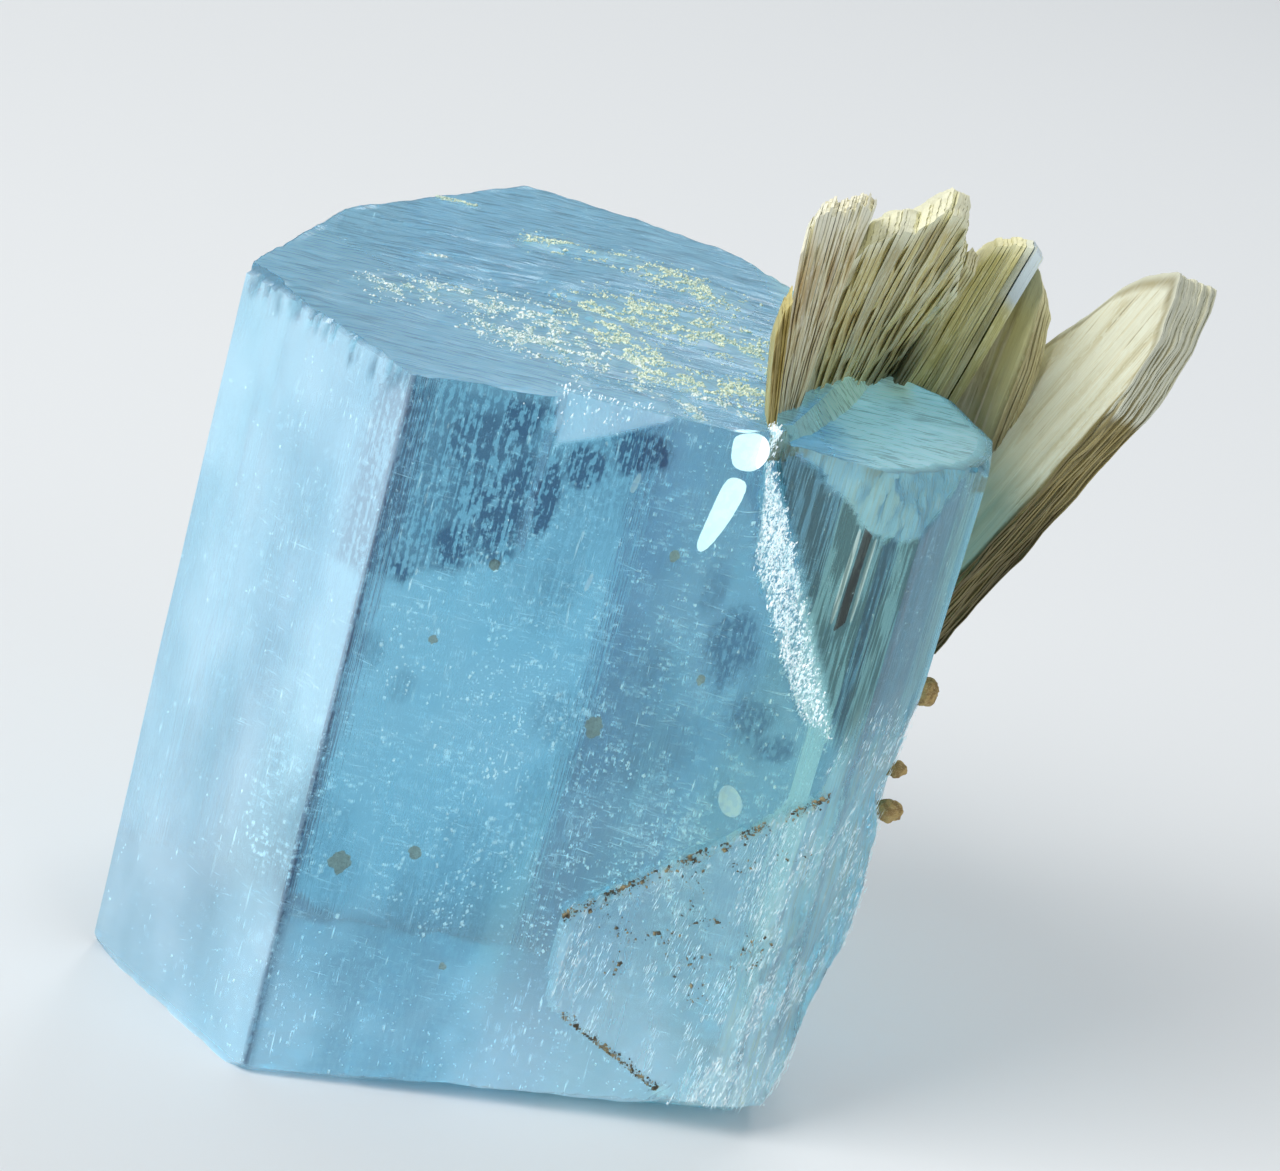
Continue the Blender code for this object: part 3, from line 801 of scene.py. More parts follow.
micaColours = {
    # pale sheet, straw sheet, brown wash, and dark for stains, seams and the painted shade between sheets and
    # at the roots
    "mica_sheet_ochre": ((0.72, 0.62, 0.26), (0.52, 0.42, 0.12), (0.30, 0.22, 0.05), (0.09, 0.06, 0.02)),
    "mica_book_left": ((0.96, 0.95, 0.78), (0.82, 0.76, 0.46), (0.50, 0.34, 0.13), (0.15, 0.09, 0.04)),
    "mica_book_middle": ((0.95, 0.95, 0.72), (0.80, 0.72, 0.34), (0.46, 0.34, 0.11), (0.10, 0.07, 0.02)),
    "mica_sliver": ((0.86, 0.82, 0.54), (0.66, 0.58, 0.28), (0.36, 0.27, 0.09), (0.10, 0.07, 0.03)),
    "mica_book_centre": ((0.93, 0.90, 0.58), (0.74, 0.68, 0.28), (0.38, 0.33, 0.09), (0.07, 0.06, 0.02)),
    "mica_book_tan": ((0.82, 0.78, 0.48), (0.68, 0.62, 0.33), (0.40, 0.33, 0.15), (0.13, 0.09, 0.03)),
    "mica_book_right": ((0.82, 0.84, 0.70), (0.72, 0.65, 0.42), (0.42, 0.34, 0.13), (0.05, 0.04, 0.012)),
}
micaHighlight = (0.62, 0.72, 0.78)


def alongLine(line, share):
    # points on a line of (share, point) stops
    stops = np.array([stop for stop, place in line], float)
    places = np.array([place for stop, place in line], float)
    return np.stack([np.interp(share, stops, places[:, k]) for k in range(3)], axis=-1)


def bookAxes(book):
    # across the sheets, through the stack, and up the middle of the front edges
    along = unit(alongLine(book["tips"], 0.5) - alongLine(book["roots"], 0.5))
    outward = heading(book["azimuth"])
    across = unit(outward - (outward @ along) * along)
    return across, np.cross(along, across), along


def micaStack(book, seed):
    # each sheet is a closed slab between two shares of the stack: a point is root + t * (tip - root),
    # plus bow * 4t(1 - t) sideways, plus s * breadth(t) back from the front edge; t ends at crown(s)
    across, stack, along = bookAxes(book)
    sheets, rows, columns, ragged = book["sheets"], micaGrid["along"], micaGrid["across"], book["ragged"]
    rng = np.random.default_rng(seed)
    number = np.arange(sheets)[:, None, None]
    s = np.linspace(0, 1, columns)[None, None, :] ** 1.3
    t = np.linspace(0, 1, rows)[None, :, None]
    bounds = np.cumsum(np.concatenate([[0], 0.5 + rng.random(sheets)]))
    bounds = bounds / bounds[-1]
    lower = bounds[:-1, None, None]
    upper = lower + (bounds[1:, None, None] - lower) * (0.80 + 0.13 * rng.random((sheets, 1, 1)))
    length = np.linalg.norm(alongLine(book["tips"], 0.5) - alongLine(book["roots"], 0.5))
    tooth = cloudNoise(8.0 * s, number * 0.9, seed, 1, seed, 3)
    fine = cloudNoise(0 * s, number * 2.7, seed, 1, seed + 9, 1)
    uneven = 0.55 * rng.random((sheets, 1, 1)) + 0.35 * np.abs(tooth) + 0.3 * np.abs(fine)
    top = readOff(book["crown"], s) * (1 - book["torn"] * uneven)
    height = t * top
    rise = height * length
    nearEdge = cloudNoise(rise * 0.5, number * 1.3, seed, 1, seed + 3, 3)
    step = np.round(cloudNoise(rise * 0.16, number * 0.35, seed, 1, seed + 5, 1) * 1.6)
    setBack = readOff(book["setBack"], height)
    setBack = setBack + ragged * (0.8 + nearEdge + 1.1 * rng.random((sheets, 1, 1)) + 0.5 * step)
    farEdge = ragged * (1 + cloudNoise(rise * 0.3, number * 1.1, seed, 1, seed + 4, 2))
    breadth = readOff(book["breadth"], height) - farEdge - setBack
    back = setBack + s * np.maximum(breadth, 0.3)
    wave = 0.05 * cloudNoise(back * 0.6, rise * 0.3, number * 0.2, 1, seed + 6, 2)
    ridges = cloudNoise(back, rise, 0, (0.36, 9, 1), seed + 7, 2)

    def face(share):
        root, tip = alongLine(book["roots"], share), alongLine(book["tips"], share)
        side = unit(alongLine(book["tips"], 1.0) - alongLine(book["tips"], 0.0))
        bow = book["bow"][0] + (book["bow"][1] - book["bow"][0]) * share
        sideways = 4 * height * (1 - height) * bow + (wave + 0.09 * ridges) * np.minimum(height * 4, 1)
        return root + (tip - root) * height[..., None] + sideways[..., None] * side + back[..., None] * across

    points = np.concatenate([face(lower), face(upper)[:, :, ::-1]], axis=2)
    fromTip = (top - height) * length
    fromRim = np.minimum(np.minimum(s, 1 - s) * breadth, fromTip)
    marks = {
        "layer": np.broadcast_to(rng.random((sheets, 1, 1)), height.shape),
        "edge": 1 - smoothStep(fromRim, 0.03, 0.35),
        "rise": fromTip / 10,
        "gloom": smoothStep(0.62 - height, 0, 0.4) * smoothStep(lower, *book["gloom"]),
        "silverHighlight": smoothStep(height, 0.70, 0.78) * smoothStep(lower, *book["silverHighlight"]),
        "groove": smoothStep(-ridges, 0.05, 0.6) + 0 * height,
    }
    marks = {name: np.concatenate([value, value[:, :, ::-1]], axis=2) for name, value in marks.items()}
    if np.dot(np.cross(across, along), alongLine(book["roots"], 1.0) - alongLine(book["roots"], 0.0)) < 0:
        points = points[:, :, ::-1]      # keeps the faces turned outward
        marks = {name: value[:, :, ::-1] for name, value in marks.items()}
    count = 2 * columns
    tubes = np.concatenate([ringFaces(rows, count, sheet * rows * count) for sheet in range(sheets)])
    first = np.arange(columns - 1)
    lid = np.stack([first, first + 1, count - 2 - first, count - 1 - first], axis=-1)
    start = np.arange(sheets)[:, None, None] * rows * count
    tops = (lid[None] + start + (rows - 1) * count).reshape(-1, 4)
    bottoms = (lid[None, :, ::-1] + start).reshape(-1, 4)
    return points.reshape(-1, 3), [tubes, tops, bottoms], marks


def micaMaterial(name, book, colours):
    # fine bands through the stack, brown washes and dark stains, painted shade between the sheets, at the
    # roots and down the edges, and a painted silvery highlight, with growth lines that follow the torn rim
    pale, straw, brown, dark = colours
    across, stack, along = bookAxes(book)
    turn = tuple(Matrix(np.stack([across, stack, along], axis=1).tolist()).to_euler())
    m = Maker(name)
    layer, edge, rise, shadow = m.mark("layer"), m.mark("edge"), m.mark("rise"), book["shadow"]
    bands = m.noise((2.0, 0.09, 9), detail=2, roughness=0.7, turn=turn)
    ridges = m.noise((0.16, 1.2, 8), detail=2, roughness=0.65, turn=turn)
    wash = m.noise((2.2, 1.2, 4), detail=3, roughness=0.6, turn=turn)
    fleck = m.noise((0.22, 0.12, 0.7), detail=2, turn=turn)
    tone = m.mix(layer, straw, pale)
    for share, colour in (
        (ridges.above(0.50, 0.62) * 0.45, straw),
        (m.mark("groove") * (0.22 + 0.42 * fleck), brown),
        (bands.above(0.48, 0.62) * (0.06 + 0.46 * edge), brown),
        (wash.above(0.52, 0.70) * 0.3, brown),
        ((1 - ridges.above(0.32, 0.44)) * 0.26, brown),
        (ridges.above(0.61, 0.68) * wash.above(0.42, 0.56) * 0.42, dark),
        (fleck.above(0.54, 0.64) * 0.5, pale),
        (edge * (1 - bands.above(0.38, 0.50)) * shadow, dark),
        (rise.above(0.5, 1.8) * 0.45, straw),
        (edge * (0.5 + bands) * book["tinted"], brown),
        (edge * layer.above(0.58, 0.70) * shadow * 0.6, dark),
        ((1 - rise.above(0.0, book["bleached"] / 10)) * 0.75, pale),
        # painted highlight: the silvery strip near the top
        (m.mark("silverHighlight") * bands.above(0.3, 0.45), micaHighlight),
        (edge * rise.above(0.35, 1.2) * shadow * 0.6, dark),
        (m.mark("gloom") * (0.45 + 0.5 * wash), dark),
    ):
        tone = m.mix(share, tone, colour)
    height = bands * (0.2 + 0.5 * edge) + 0.4 * ridges
    return m.finish(
        Base_Color=tone, Roughness=0.30 + 0.2 * bands + 0.12 * edge, Normal=m.bump(height, 0.08),
        Specular_IOR_Level=0.45,
    )


for seed, (node, special) in enumerate(micaBooks.items()):
    book = usualBook | special
    points, faces, marks = micaStack(book, 100 + 20 * seed)
    material = micaMaterial(node + "_look", book, micaColours[node])
    slotName = "ochre_mica" if node == "mica_sheet_ochre" else "mica"
    stackPiece = newPiece(node + "_sheets", points, faces, material, slotName, sharp=35, marks=marks)
    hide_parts(node)


# matrix crumbs on the side crystal's right-hand edge

crumbLook = {"rows": 26, "columns": 40, "grain": 0.14, "reach": 0.8}
crumbTones = ((0.30, 0.19, 0.06), (0.52, 0.36, 0.13), (0.66, 0.52, 0.28))


def crumbMesh(low, high, seed):
    # a lumpy ball inside a box: radius times (1 + noise) over latitude and longitude, squashed to the box
    rows, columns = crumbLook["rows"], crumbLook["columns"]
    latitude = np.linspace(-0.5, 0.5, rows + 2)[1:-1, None] * math.pi
    longitude = np.linspace(0, 2 * math.pi, columns, endpoint=False)[None, :]
    x = np.cos(latitude) * np.cos(longitude)
    y = np.cos(latitude) * np.sin(longitude)
    z = np.sin(latitude) + 0 * longitude
    size = 0.86 + 0.16 * cloudNoise(x, y, z, 0.6, seed, 3) + 0.05 * cloudNoise(x, y, z, 0.16, seed + 7, 2)
    ball = np.stack([x * size, y * size, z * size], axis=-1).reshape(-1, 3)
    ball = np.concatenate([ball, [[0, 0, -0.86], [0, 0, 0.86]]])
    return (low + high) / 2 + ball * (high - low) / 2, closedRings(rows, columns)


def stoneMaterial(name, tones, grain):
    # three tones: two in coarse patches, the third in small grains
    m = Maker(name)
    patches = m.noise((grain * 3,) * 3, detail=4)
    grains = m.cells((grain,) * 3)
    tiny = m.noise((grain * 0.5,) * 3, detail=3)
    tone = m.mix(patches.above(0.4, 0.6), tones[0], tones[1])
    tone = m.mix(tiny.above(0.55, 0.65), tone, tones[2])
    height = grains * 0.6 + tiny * 0.5
    return m.finish(Base_Color=tone, Roughness=0.55 + 0.3 * tiny, Normal=m.bump(height, grain * 0.4))


matrixStone = stoneMaterial("matrix_stone", crumbTones, crumbLook["grain"])
for seed, node in enumerate(("matrix_crumb_upper", "matrix_crumb_middle", "matrix_crumb_lower")):
    low, high = [np.array(corner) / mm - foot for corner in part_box(node)]
    low = low - (crumbLook["reach"], 0, 0)      # into the worn hollow of the crystal's side
    points, faces = crumbMesh(low, high, 300 + seed)
    crumb = newPiece(node + "_grain", points, faces, matrixStone, "matrix", sharp=60)
    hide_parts(node)


# what is sealed in the crystal, or grown on it

inclusionCount = {
    "needles": 6500, "hairlines": 900, "sparkles": 15000, "veil": 900, "frost": 5200, "etched": 5200,
}
veilSheets = (
    # middle, which way the sheet faces, radius
    ((11, 3.5, 26), (0.15, -0.75, 0.64), 9), ((15, 2.5, 18), (0.45, -0.8, 0.4), 7),
    ((6, 4, 14), (-0.3, -0.8, 0.5), 7), ((19, 5, 12), (0.2, -0.6, 0.77), 8),
    ((12, 6, 34), (0.1, -0.5, 0.86), 8), ((18, 9, 24), (0.5, -0.6, 0.62), 8),
    ((25, 6, 16), (0.5, -0.7, 0.5), 6), ((10, 20, 20), (0.1, -0.9, 0.4), 10),
)
upward = np.array([0, 0, 1.0])
coolWhite, pureWhite = (0.80, 0.95, 1.0), (1.0, 1.0, 1.0)


def insideCrystal(points, inset):
    # true where a point lies deeper than inset under the walls of either crystal and under their tops
    x, y, z = points.T
    angle, away = polar(x, y)
    main, side = mainReach(angle, z), sideReach(angle, z)
    inMain = (away < main - inset * 1.15) & (z < mainCrystal["top"] - 0.3 - inset)
    inSide = (away > main) & (away < side - inset * 1.3) & (z < sideCrystal["top"] - 0.2 - inset) & (z > 2)
    return (inMain | inSide) & (z > 0.4 + inset)


def plainMaterial(name, colour, other, grain, roughness, **more):
    # two tones mottled by noise
    m = Maker(name)
    mottle = m.noise((grain,) * 3, detail=1)
    tone = m.mix(mottle.above(0.4, 0.6), colour, other)
    return m.finish(Base_Color=tone, Roughness=roughness + 0.15 * mottle, **more)


def glowing(colour, strength):
    # the light that a crack or a needle sends back, as faint emission
    return {"Emission_Color": colour, "Emission_Strength": strength}


def flatChip(centre, normal, radius, thickness, seed):
    # a closed flat lens with a wandering outline: two rings at full radius between two at about half
    count = 26
    turn = np.linspace(0, 2 * math.pi, count, endpoint=False)
    outline = radius * (0.75 + 0.3 * cloudNoise(np.cos(turn), np.sin(turn), 0, (0.7, 0.7, 1), seed, 3))
    normal = unit(np.array(normal, float))
    first = unit(np.cross(normal, (0.31, 0.2, 0.93)))
    second = np.cross(normal, first)
    levels = [(0.55, -0.5), (1.0, -0.15), (1.0, 0.15), (0.55, 0.5)]
    rings = [outline[:, None] * share * (np.cos(turn)[:, None] * first + np.sin(turn)[:, None] * second)
             + lift * thickness * normal for share, lift in levels]
    poles = [[-0.5 * thickness * normal], [0.5 * thickness * normal]]
    return np.concatenate(rings + poles) + np.array(centre), closedRings(len(levels), count)


def joined(parts):
    # several (points, [faces...]) made one
    points, quads, offset = [], {}, 0
    for some, groups in parts:
        points.append(some)
        for group in groups:
            quads.setdefault(group.shape[1], []).append(group + offset)
        offset += len(some)
    return np.concatenate(points), [np.concatenate(groups) for groups in quads.values()]


def crowdedForward(rng, centres, share):
    # keeps this share of the points all through, and ever more of them toward the front face
    return rng.random(len(centres)) < share + (1 - share) * np.exp(-np.maximum(centres[:, 1], 0) / 4)


def spindles(rng, centres, along, spread, wide, long):
    # thin double pyramids of these widths and lengths that point nearly one way
    turns = aroundAxis(unit(np.array(along, float)), len(centres), spread, rng)
    return scattered(octahedron, centres, np.stack([wide, wide, long * 0.5], axis=-1), turns)


def growNeedles():
    # thin spindles along the prism, crowded at the front, long ones rare; then hairlines that lie across them
    rng = np.random.default_rng(11)
    wanted = inclusionCount["needles"]
    centres = rng.uniform((-6, 0.2, 1), (31, 34, 41.6), (wanted * 5, 3))
    near = crowdedForward(rng, centres, 0.12)
    patchy = cloudNoise(*centres.T, (4, 4, 6), 61, 3) > -0.2 + 0.6 * rng.random(len(centres))
    centres = centres[near & patchy & insideCrystal(centres, 0.2)][:wanted]
    long = rng.lognormal(-0.95, 0.6, len(centres)).clip(0.12, 2.4)
    wide = rng.lognormal(-3.7, 0.35, len(centres)).clip(0.012, 0.055)
    upright = spindles(rng, centres, upward, 0.03, wide, long)
    wanted = inclusionCount["hairlines"]
    centres = rng.uniform((-5, 0.2, 4), (26, 9, 40), (wanted * 3, 3))
    patchy = cloudNoise(*centres.T, (5, 5, 3), 63, 2) > 0.15
    centres = centres[patchy & insideCrystal(centres, 0.3)][:wanted]
    wide = rng.uniform(0.008, 0.018, len(centres))
    long = rng.lognormal(0.0, 0.5, len(centres)).clip(0.4, 3.5)
    return joined([upright, spindles(rng, centres, (1.0, 0.1, -0.16), 0.10, wide, long)])


def growSparkles():
    # tiny grains through the whole body, denser in drifts
    rng = np.random.default_rng(12)
    wanted = inclusionCount["sparkles"]
    centres = rng.uniform((-7, 0.15, 0.6), (34, 34, 41.8), (wanted * 6, 3))
    drift = cloudNoise(*centres.T, (3, 3, 5), 67, 3)
    keep = (drift > 0.1) | (rng.random(len(centres)) < 0.3)
    near = crowdedForward(rng, centres, 0.1)
    centres = centres[keep & near & insideCrystal(centres, 0.15)][:wanted]
    count = len(centres)
    size = rng.lognormal(-3.35, 0.45, count).clip(0.012, 0.12)
    sizes = np.stack([size, size * rng.uniform(0.5, 1, count), size * rng.uniform(0.8, 2.2, count)], axis=-1)
    return scattered(tetrahedron, centres, sizes, aroundAxis(upward, count, 0.25, rng))


def growVeils():
    # healed cracks: sheets of specks, each sheet a tilted disc with a drifting edge and streaks along one way
    rng = np.random.default_rng(13)
    count = inclusionCount["veil"]
    centres, sizes, turns = [], [], []
    for place, normal, radius in veilSheets:
        normal = unit(np.array(normal))
        first = unit(np.cross(normal, (0.2, 0.1, 1.0)))
        second = np.cross(normal, first)
        spread = radius * np.sqrt(rng.random(count * 2))
        turn = rng.uniform(0, 2 * math.pi, count * 2)
        u, v = spread * np.cos(turn), spread * np.sin(turn)
        keep = cloudNoise(u, v, radius, (1.6, 3.2, 1), 71, 3) > 0.05
        u, v = u[keep][:count, None], v[keep][:count, None]
        lift = 0.35 * cloudNoise(u, v, 0, (3, 3, 1), 73, 2)
        spots = np.array(place) + u * first + v * second + lift * normal
        spots = spots[insideCrystal(spots, 0.3)]
        size = rng.lognormal(-3.2, 0.5, len(spots)).clip(0.012, 0.12)
        centres.append(spots)
        sizes.append(np.stack([size, size * 1.6, size * 0.25], axis=-1))
        turns.append(np.broadcast_to(np.stack([first, second, normal], axis=1), (len(spots), 3, 3)))
    return scattered(octahedron, np.concatenate(centres), np.concatenate(sizes), np.concatenate(turns))


needleWhite = plainMaterial("needle_white", (0.96, 0.99, 1.0), (0.80, 0.93, 0.98), 0.8, 0.25,
                            **glowing(coolWhite, 0.45))
for name, grow in (("needles", growNeedles), ("sparkles", growSparkles), ("healed_veils", growVeils)):
    newPiece(name, *grow(), needleWhite, "inclusions", sharp=None)


def slab(outline, back):
    # a flat polygon given by its corners, thickened by the vector back and closed by fans from its middle
    outline, back = np.array(outline, float), np.array(back, float)
    middle = outline.mean(axis=0)
    points = np.concatenate([outline + back, outline, [middle + back, middle]])
    return points, closedRings(2, len(outline))


def rounded(outline):
    # twice over, each corner gives way to two points a quarter of the way along its edges
    points = np.array(outline, float)
    for turn in range(2):
        after = np.roll(points, -1, axis=0)
        points = np.stack([0.75 * points + 0.25 * after, 0.25 * points + 0.75 * after], axis=1).reshape(-1, 3)
    return points


# painted glints, glowing white plates that stand in for lamp light caught on cracks behind the front face,
# each a depth
# and an outline of (x, z): the bright flashes with the dark crack's white edges, then the fainter ones
glintOutlines = {
    "crack_glints": (
        (0.45, (17.7, 40.7), (18.0, 39.6), (19.3, 39.5), (19.9, 40.4), (19.7, 41.4), (18.8, 41.8),
         (17.7, 41.5)),
        (0.45, (17.2, 34.8), (17.8, 34.6), (18.7, 36.6), (19.2, 38.8), (18.3, 39.2), (17.8, 38.8),
         (17.5, 36.8)),
        (0.40, (25.66, 31.9), (25.90, 31.7), (26.02, 37.2), (25.78, 37.6)),
        (0.40, (26.74, 32.2), (26.90, 32.0), (26.98, 36.9), (26.82, 37.2)),
    ),
    "faint_glints": (
        (0.50, (22.2, 21.1), (22.6, 19.9), (23.4, 19.5), (23.9, 19.9), (23.7, 20.8), (22.8, 21.6)),
        (0.50, (12.9, 37.4), (13.2, 37.2), (13.4, 38.2), (13.2, 38.6)),
        (0.50, (11.9, 31.4), (12.1, 31.3), (12.3, 32.3), (12.1, 32.5)),
    ),
}
glintLooks = {
    "crack_glints": plainMaterial("glint_white", pureWhite, (0.88, 0.97, 1.0), 0.5, 0.1,
                                  **glowing(pureWhite, 0.75)),
    "faint_glints": plainMaterial("glint_faint", (0.66, 0.84, 1.0), (0.92, 0.98, 1.0), 0.5, 0.2,
                                  **glowing(coolWhite, 0.18)),
}
for name, outlines in glintOutlines.items():
    slabs = [slab(rounded([(x, depth, z) for x, z in corners]), (0, 0.12, 0)) for depth, *corners in outlines]
    newPiece(name, *joined(slabs), glintLooks[name], "inclusions")
darkCorners = ((26.12, 0.5, 31.4), (26.58, 0.5, 32.0), (26.64, 0.5, 37.2), (26.22, 0.5, 37.5))
crackDark = plainMaterial("crack_dark", (0.003, 0.012, 0.018), (0.012, 0.035, 0.045), 0.3, 0.6)
newPiece("dark_crack", *slab(darkCorners, (0, 0.2, 0)), crackDark, "inclusions")


def growFrost():
    # sugary grains seated on the band's own points, and thin lines etched along the plate and ribbed corner
    rng = np.random.default_rng(16)
    x, y, z = bodyPoints.T
    marks = frontMarks(x, y, z)
    weight = np.where((z < 42.2) & (z > 0.5), marks["band"] ** 2 + 0.03 * np.minimum(marks["chip"], 1), 0)
    picked = rng.choice(len(weight), inclusionCount["frost"], p=weight / weight.sum())
    size = rng.lognormal(-3.1, 0.4, len(picked)).clip(0.02, 0.12)
    centres = bodyPoints[picked] + rng.normal(scale=0.10, size=(len(picked), 3)) * (1, 0.3, 1) + (0, 0.02, 0)
    sizes = np.stack([size, size * 0.5, size * rng.uniform(1.0, 3.5, len(picked))], axis=-1)
    turns = aroundAxis(unit(np.array([0.2, 0, 1.0])), len(picked), 0.25, rng)
    grains = scattered(tetrahedron, centres, sizes, turns)
    drift = cloudNoise(x, y, z, (1.1, 1.1, 3), 93, 2) > -0.1
    weight = np.where((z < 27) & (z > 1.5), (marks["ribbed"] + 0.75 * marks["plate"]) * drift, 0)
    picked = rng.choice(len(weight), inclusionCount["etched"], p=weight / weight.sum())
    centres = bodyPoints[picked] + rng.normal(scale=0.12, size=(len(picked), 3)) * (1, 0.1, 1)
    long = rng.lognormal(-0.9, 0.5, len(picked)).clip(0.12, 1.5)
    wide = rng.lognormal(-4.1, 0.3, len(picked)).clip(0.010, 0.030)
    return grains, spindles(rng, centres, (0.16, 0, 1.0), 0.05, wide, long)


frostWhite = plainMaterial("frost_white", (0.84, 0.97, 1.0), (0.62, 0.84, 0.90), 0.8, 0.3,
                           **glowing(coolWhite, 0.24))
grains, etchedLines = growFrost()
newPiece("frost_grains", *grains, needleWhite, "inclusions", sharp=None)
newPiece("etched_lines", *etchedLines, frostWhite, "inclusions", sharp=None)

# tan flakes close behind the front face: x, z, radius
flakePlaces = ((14.5, 23.6, 0.75), (6.9, 31.9, 0.42), (2.7, 13.4, 0.8), (6.6, 14.7, 0.5), (4.7, 27.2, 0.35),
               (16.3, 34.1, 0.4), (9.8, 8.0, 0.3), (19.6, 27.3, 0.35))
flakes = [flatChip((x, 0.7, z), (0.25, -1, 0.2 + 0.1 * math.sin(9 * x)), size, 0.06, 80 + i)
          for i, (x, z, size) in enumerate(flakePlaces)]
flakeTan = stoneMaterial("flake_tan", ((0.42, 0.40, 0.28), (0.56, 0.54, 0.42), (0.28, 0.24, 0.14)), 0.12)
newPiece("tan_flakes", *joined(flakes), flakeTan, "inclusions", sharp=40)

crustLooks = {
    "pale": ((0.42, 0.60, 0.58), (0.86, 0.96, 0.94)),
    "straw": ((0.50, 0.64, 0.52), (0.84, 0.94, 0.76)),
}
crustDensity = 230      # grains thrown on a square millimetre of band


def growCrust(tone, seed):
    # flattened grains thrown along each band of this tone, kept where a fine cloud noise is high
    rng = np.random.default_rng(seed)
    spots = []
    for half, line in [band[1:] for band in crustBands if band[0] == tone]:
        line = np.array(line, float)
        steps = np.concatenate([[0], np.cumsum(np.linalg.norm(np.diff(line, axis=0), axis=1))])
        count = int(crustDensity * steps[-1] * (half + 0.1))
        place = rng.uniform(0, steps[-1], count)
        x = np.interp(place, steps, line[:, 0]) + rng.normal(scale=half * 0.75, size=count)
        y = np.interp(place, steps, line[:, 1]) + rng.normal(scale=half * 0.95, size=count)
        keep = cloudNoise(x, y, 0, (0.7, 0.6, 1), 83, 3) > -0.05
        spots.append(np.stack([x, y], axis=-1)[keep])
    x, y = np.concatenate(spots).T
    angle, away = polar(x, y)
    inside = away < mainReach(angle, mainCrystal["top"]) - 0.4
    x, y = x[inside], y[inside]
    size = rng.lognormal(-2.8, 0.4, len(x)).clip(0.03, 0.15)
    centres = np.stack([x, y, topHeight(x, y)], axis=-1)
    stretch = rng.uniform(0.7, 1.5, (len(x), 3)) * size[:, None] * (1.2, 0.8, 0.8)
    return scattered(octahedron, centres, stretch, aroundAxis(upward, len(x), 0.3, rng))


for seed, (tone, (first, second)) in enumerate(crustLooks.items()):
    grainLook = plainMaterial(tone + "_crust", first, second, 0.25, 0.35)
    newPiece("top_crust_" + tone, *growCrust(tone, 14 + 20 * seed), grainLook, "crust", sharp=None)

gritCount = {"upperEdge": 760, "drift": 20, "lowerEdge": 300}
gritDrifts = (
    # x, z
    (22.6, 13.9), (23.5, 13.3), (26.3, 12.6), (26.3, 11.3), (21.1, 12.1), (19.2, 11.9), (26.9, 18.1),
    (21.9, 15.7), (23.4, 10.6), (24.0, 9.0), (19.4, 10.1), (18.0, 12.6), (24.6, 17.0),
)


def growPlateGrit():
    # dark specks along the plate's upper edge, in drifts over it, and a crust on its lower-left edge
    rng = np.random.default_rng(15)
    x = rng.uniform(15.4, 28.3, gritCount["upperEdge"])
    z = lineHeight(frontPlaces["plateTop"], x) + 0.05 - np.abs(rng.normal(scale=0.38, size=len(x)))
    keep = cloudNoise(x, z, 0, (0.7, 0.7, 1), 91, 2) > -0.25
    places = [np.stack([x, z], axis=-1)[keep]]
    for drift in gritDrifts:
        places.append(rng.normal(scale=(0.6, 0.4), size=(gritCount["drift"], 2)) + drift)
    x = rng.uniform(16.9, 23.4, gritCount["lowerEdge"])
    z = lineHeight(frontPlaces["plateFoot"], x) + 0.0376 + np.abs(rng.normal(scale=0.22, size=len(x)))
    x, z = np.concatenate(places + [np.stack([x, z], axis=-1)]).T
    size = rng.lognormal(-2.85, 0.5, len(x)).clip(0.03, 0.19)
    stretch = rng.uniform(0.7, 1.3, (len(x), 3)) * size[:, None] * (1, 0.5, 1)
    centres = np.stack([x, np.full(len(x), -0.39), z], axis=-1)      # on the plate's raised face
    return scattered(octahedron, centres, stretch, randomTurns(rng, len(x)))


grit = plainMaterial("brown_grit", (0.07, 0.06, 0.035), (0.34, 0.28, 0.15), 0.5, 0.5)
newPiece("plate_grit", *growPlateGrit(), grit, "matrix", sharp=None)


# floor, light and camera

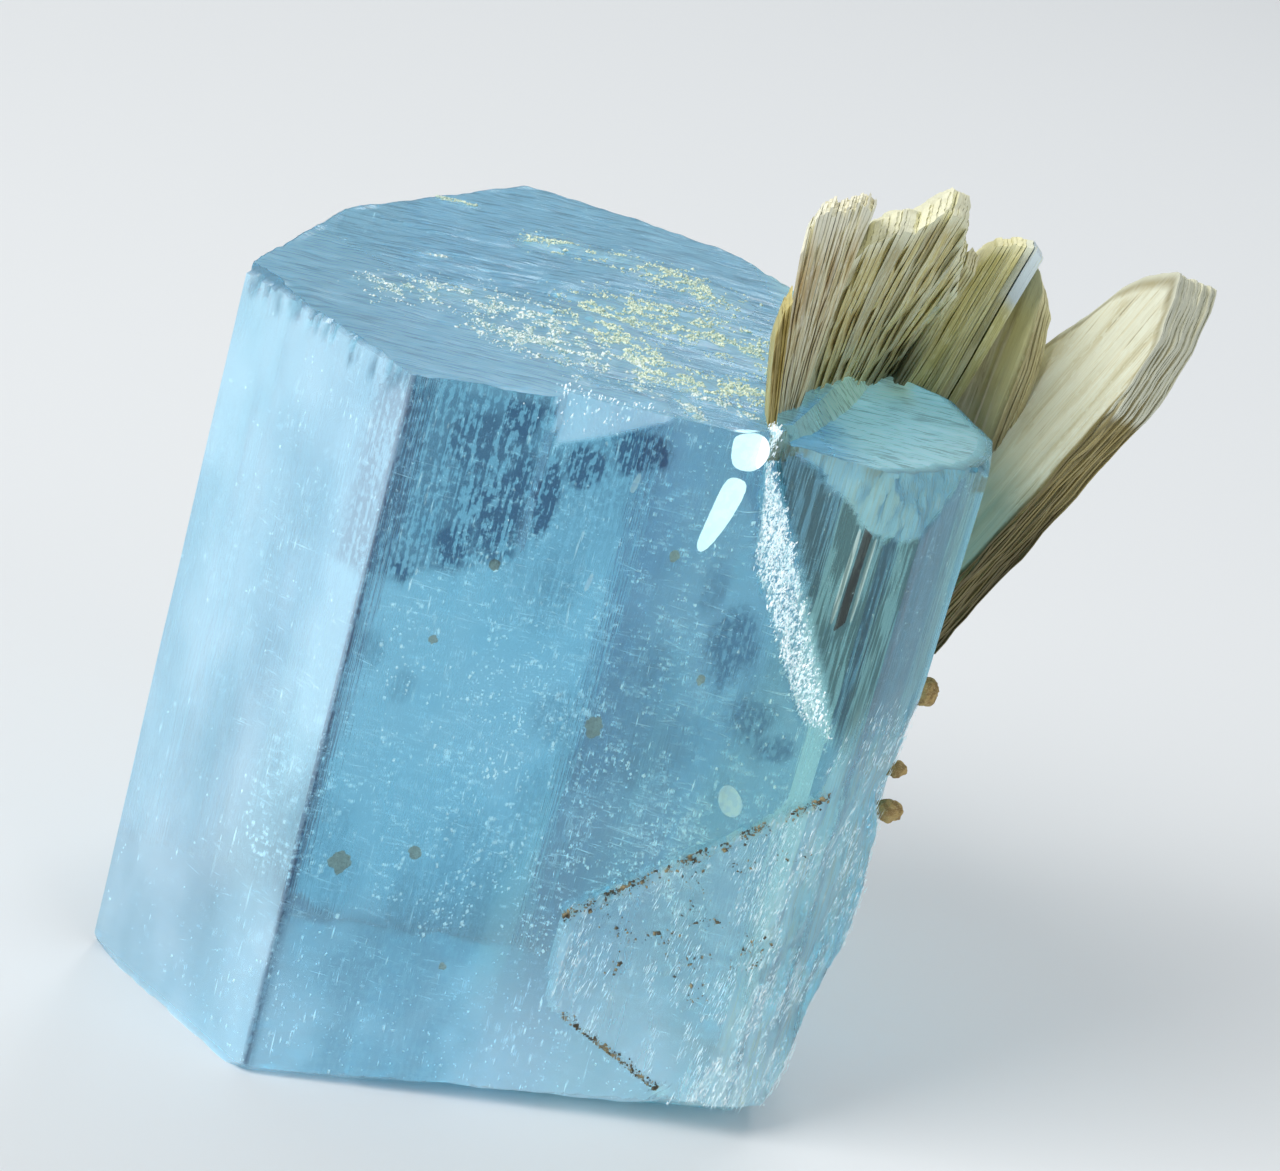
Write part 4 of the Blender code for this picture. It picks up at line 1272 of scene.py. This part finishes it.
studio = {
    "floor": (0.80, 0.82, 0.84),
    "sky": (0.84, 0.88, 0.90),
    "skyStrength": 0.40,
    "aim": (16, 14, 24),
    # azimuth, elevation, distance and size in metres, power, colour
    "key": (200, 40, 0.55, 0.30, 2.3, (1.0, 0.985, 0.96)),
    "fill": (300, 30, 0.60, 0.35, 0.5, (0.93, 0.97, 1.0)),
    "rim": (60, 50, 0.55, 0.25, 0.9, (1.0, 1.0, 1.0)),
    # the camera's place, in millimetres from the foot, its lens, and which ways are right, up and back
    "stand": (-43.536, -200.134, 112.307),
    "lens": 118.33,
    "right": (0.9523024, -0.17852511, 0.24748521),
    "up": (-0.15786891, 0.40582677, 0.90021222),
    "back": (-0.26114661, -0.89634448, 0.35828624),
}


def inScene(name, data):
    piece = bpy.data.objects.new(name, data)
    bpy.context.scene.collection.objects.link(piece)
    return piece


def buildFloor():
    mesh = bpy.data.meshes.new("floor")
    mesh.from_pydata([(-3, -3, 0), (3, -3, 0), (3, 3, 0), (-3, 3, 0)], [], [(0, 1, 2, 3)])
    mesh.materials.append(Maker("pale_floor").finish(Base_Color=studio["floor"], Roughness=0.75))
    inScene("floor", mesh)


def addLight(name):
    # a square lamp that faces the crystal from its heading
    azimuth, elevation, distance, size, power, colour = studio[name]
    lamp = bpy.data.lights.new(name, "AREA")
    lamp.energy, lamp.size, lamp.color = power, size, colour
    level, up = math.cos(math.radians(elevation)), math.sin(math.radians(elevation))
    direction = Vector(heading(azimuth) * level + np.array([0, 0, up]))
    piece = inScene(name, lamp)
    piece.location = Vector((foot + studio["aim"]) * mm) + direction * distance
    piece.rotation_euler = direction.to_track_quat("Z", "Y").to_euler()


def addCamera():
    camera = inScene("camera", bpy.data.cameras.new("camera"))
    camera.data.sensor_width, camera.data.lens, camera.data.clip_start = 36.0, studio["lens"], 0.01
    turned = Matrix((studio["right"], studio["up"], studio["back"])).transposed().to_4x4()
    camera.matrix_world = Matrix.Translation(Vector((foot + studio["stand"]) * mm)) @ turned
    bpy.context.scene.camera = camera


buildFloor()
for name in ("key", "fill", "rim"):
    addLight(name)
addCamera()
world = bpy.data.worlds.new("studio")
bpy.context.scene.world = world
world.use_nodes = True
background = world.node_tree.nodes["Background"].inputs
background["Color"].default_value = (*studio["sky"], 1)
background["Strength"].default_value = studio["skyStrength"]
bpy.context.scene.view_settings.view_transform = "Standard"
print("floor, light and camera are set")
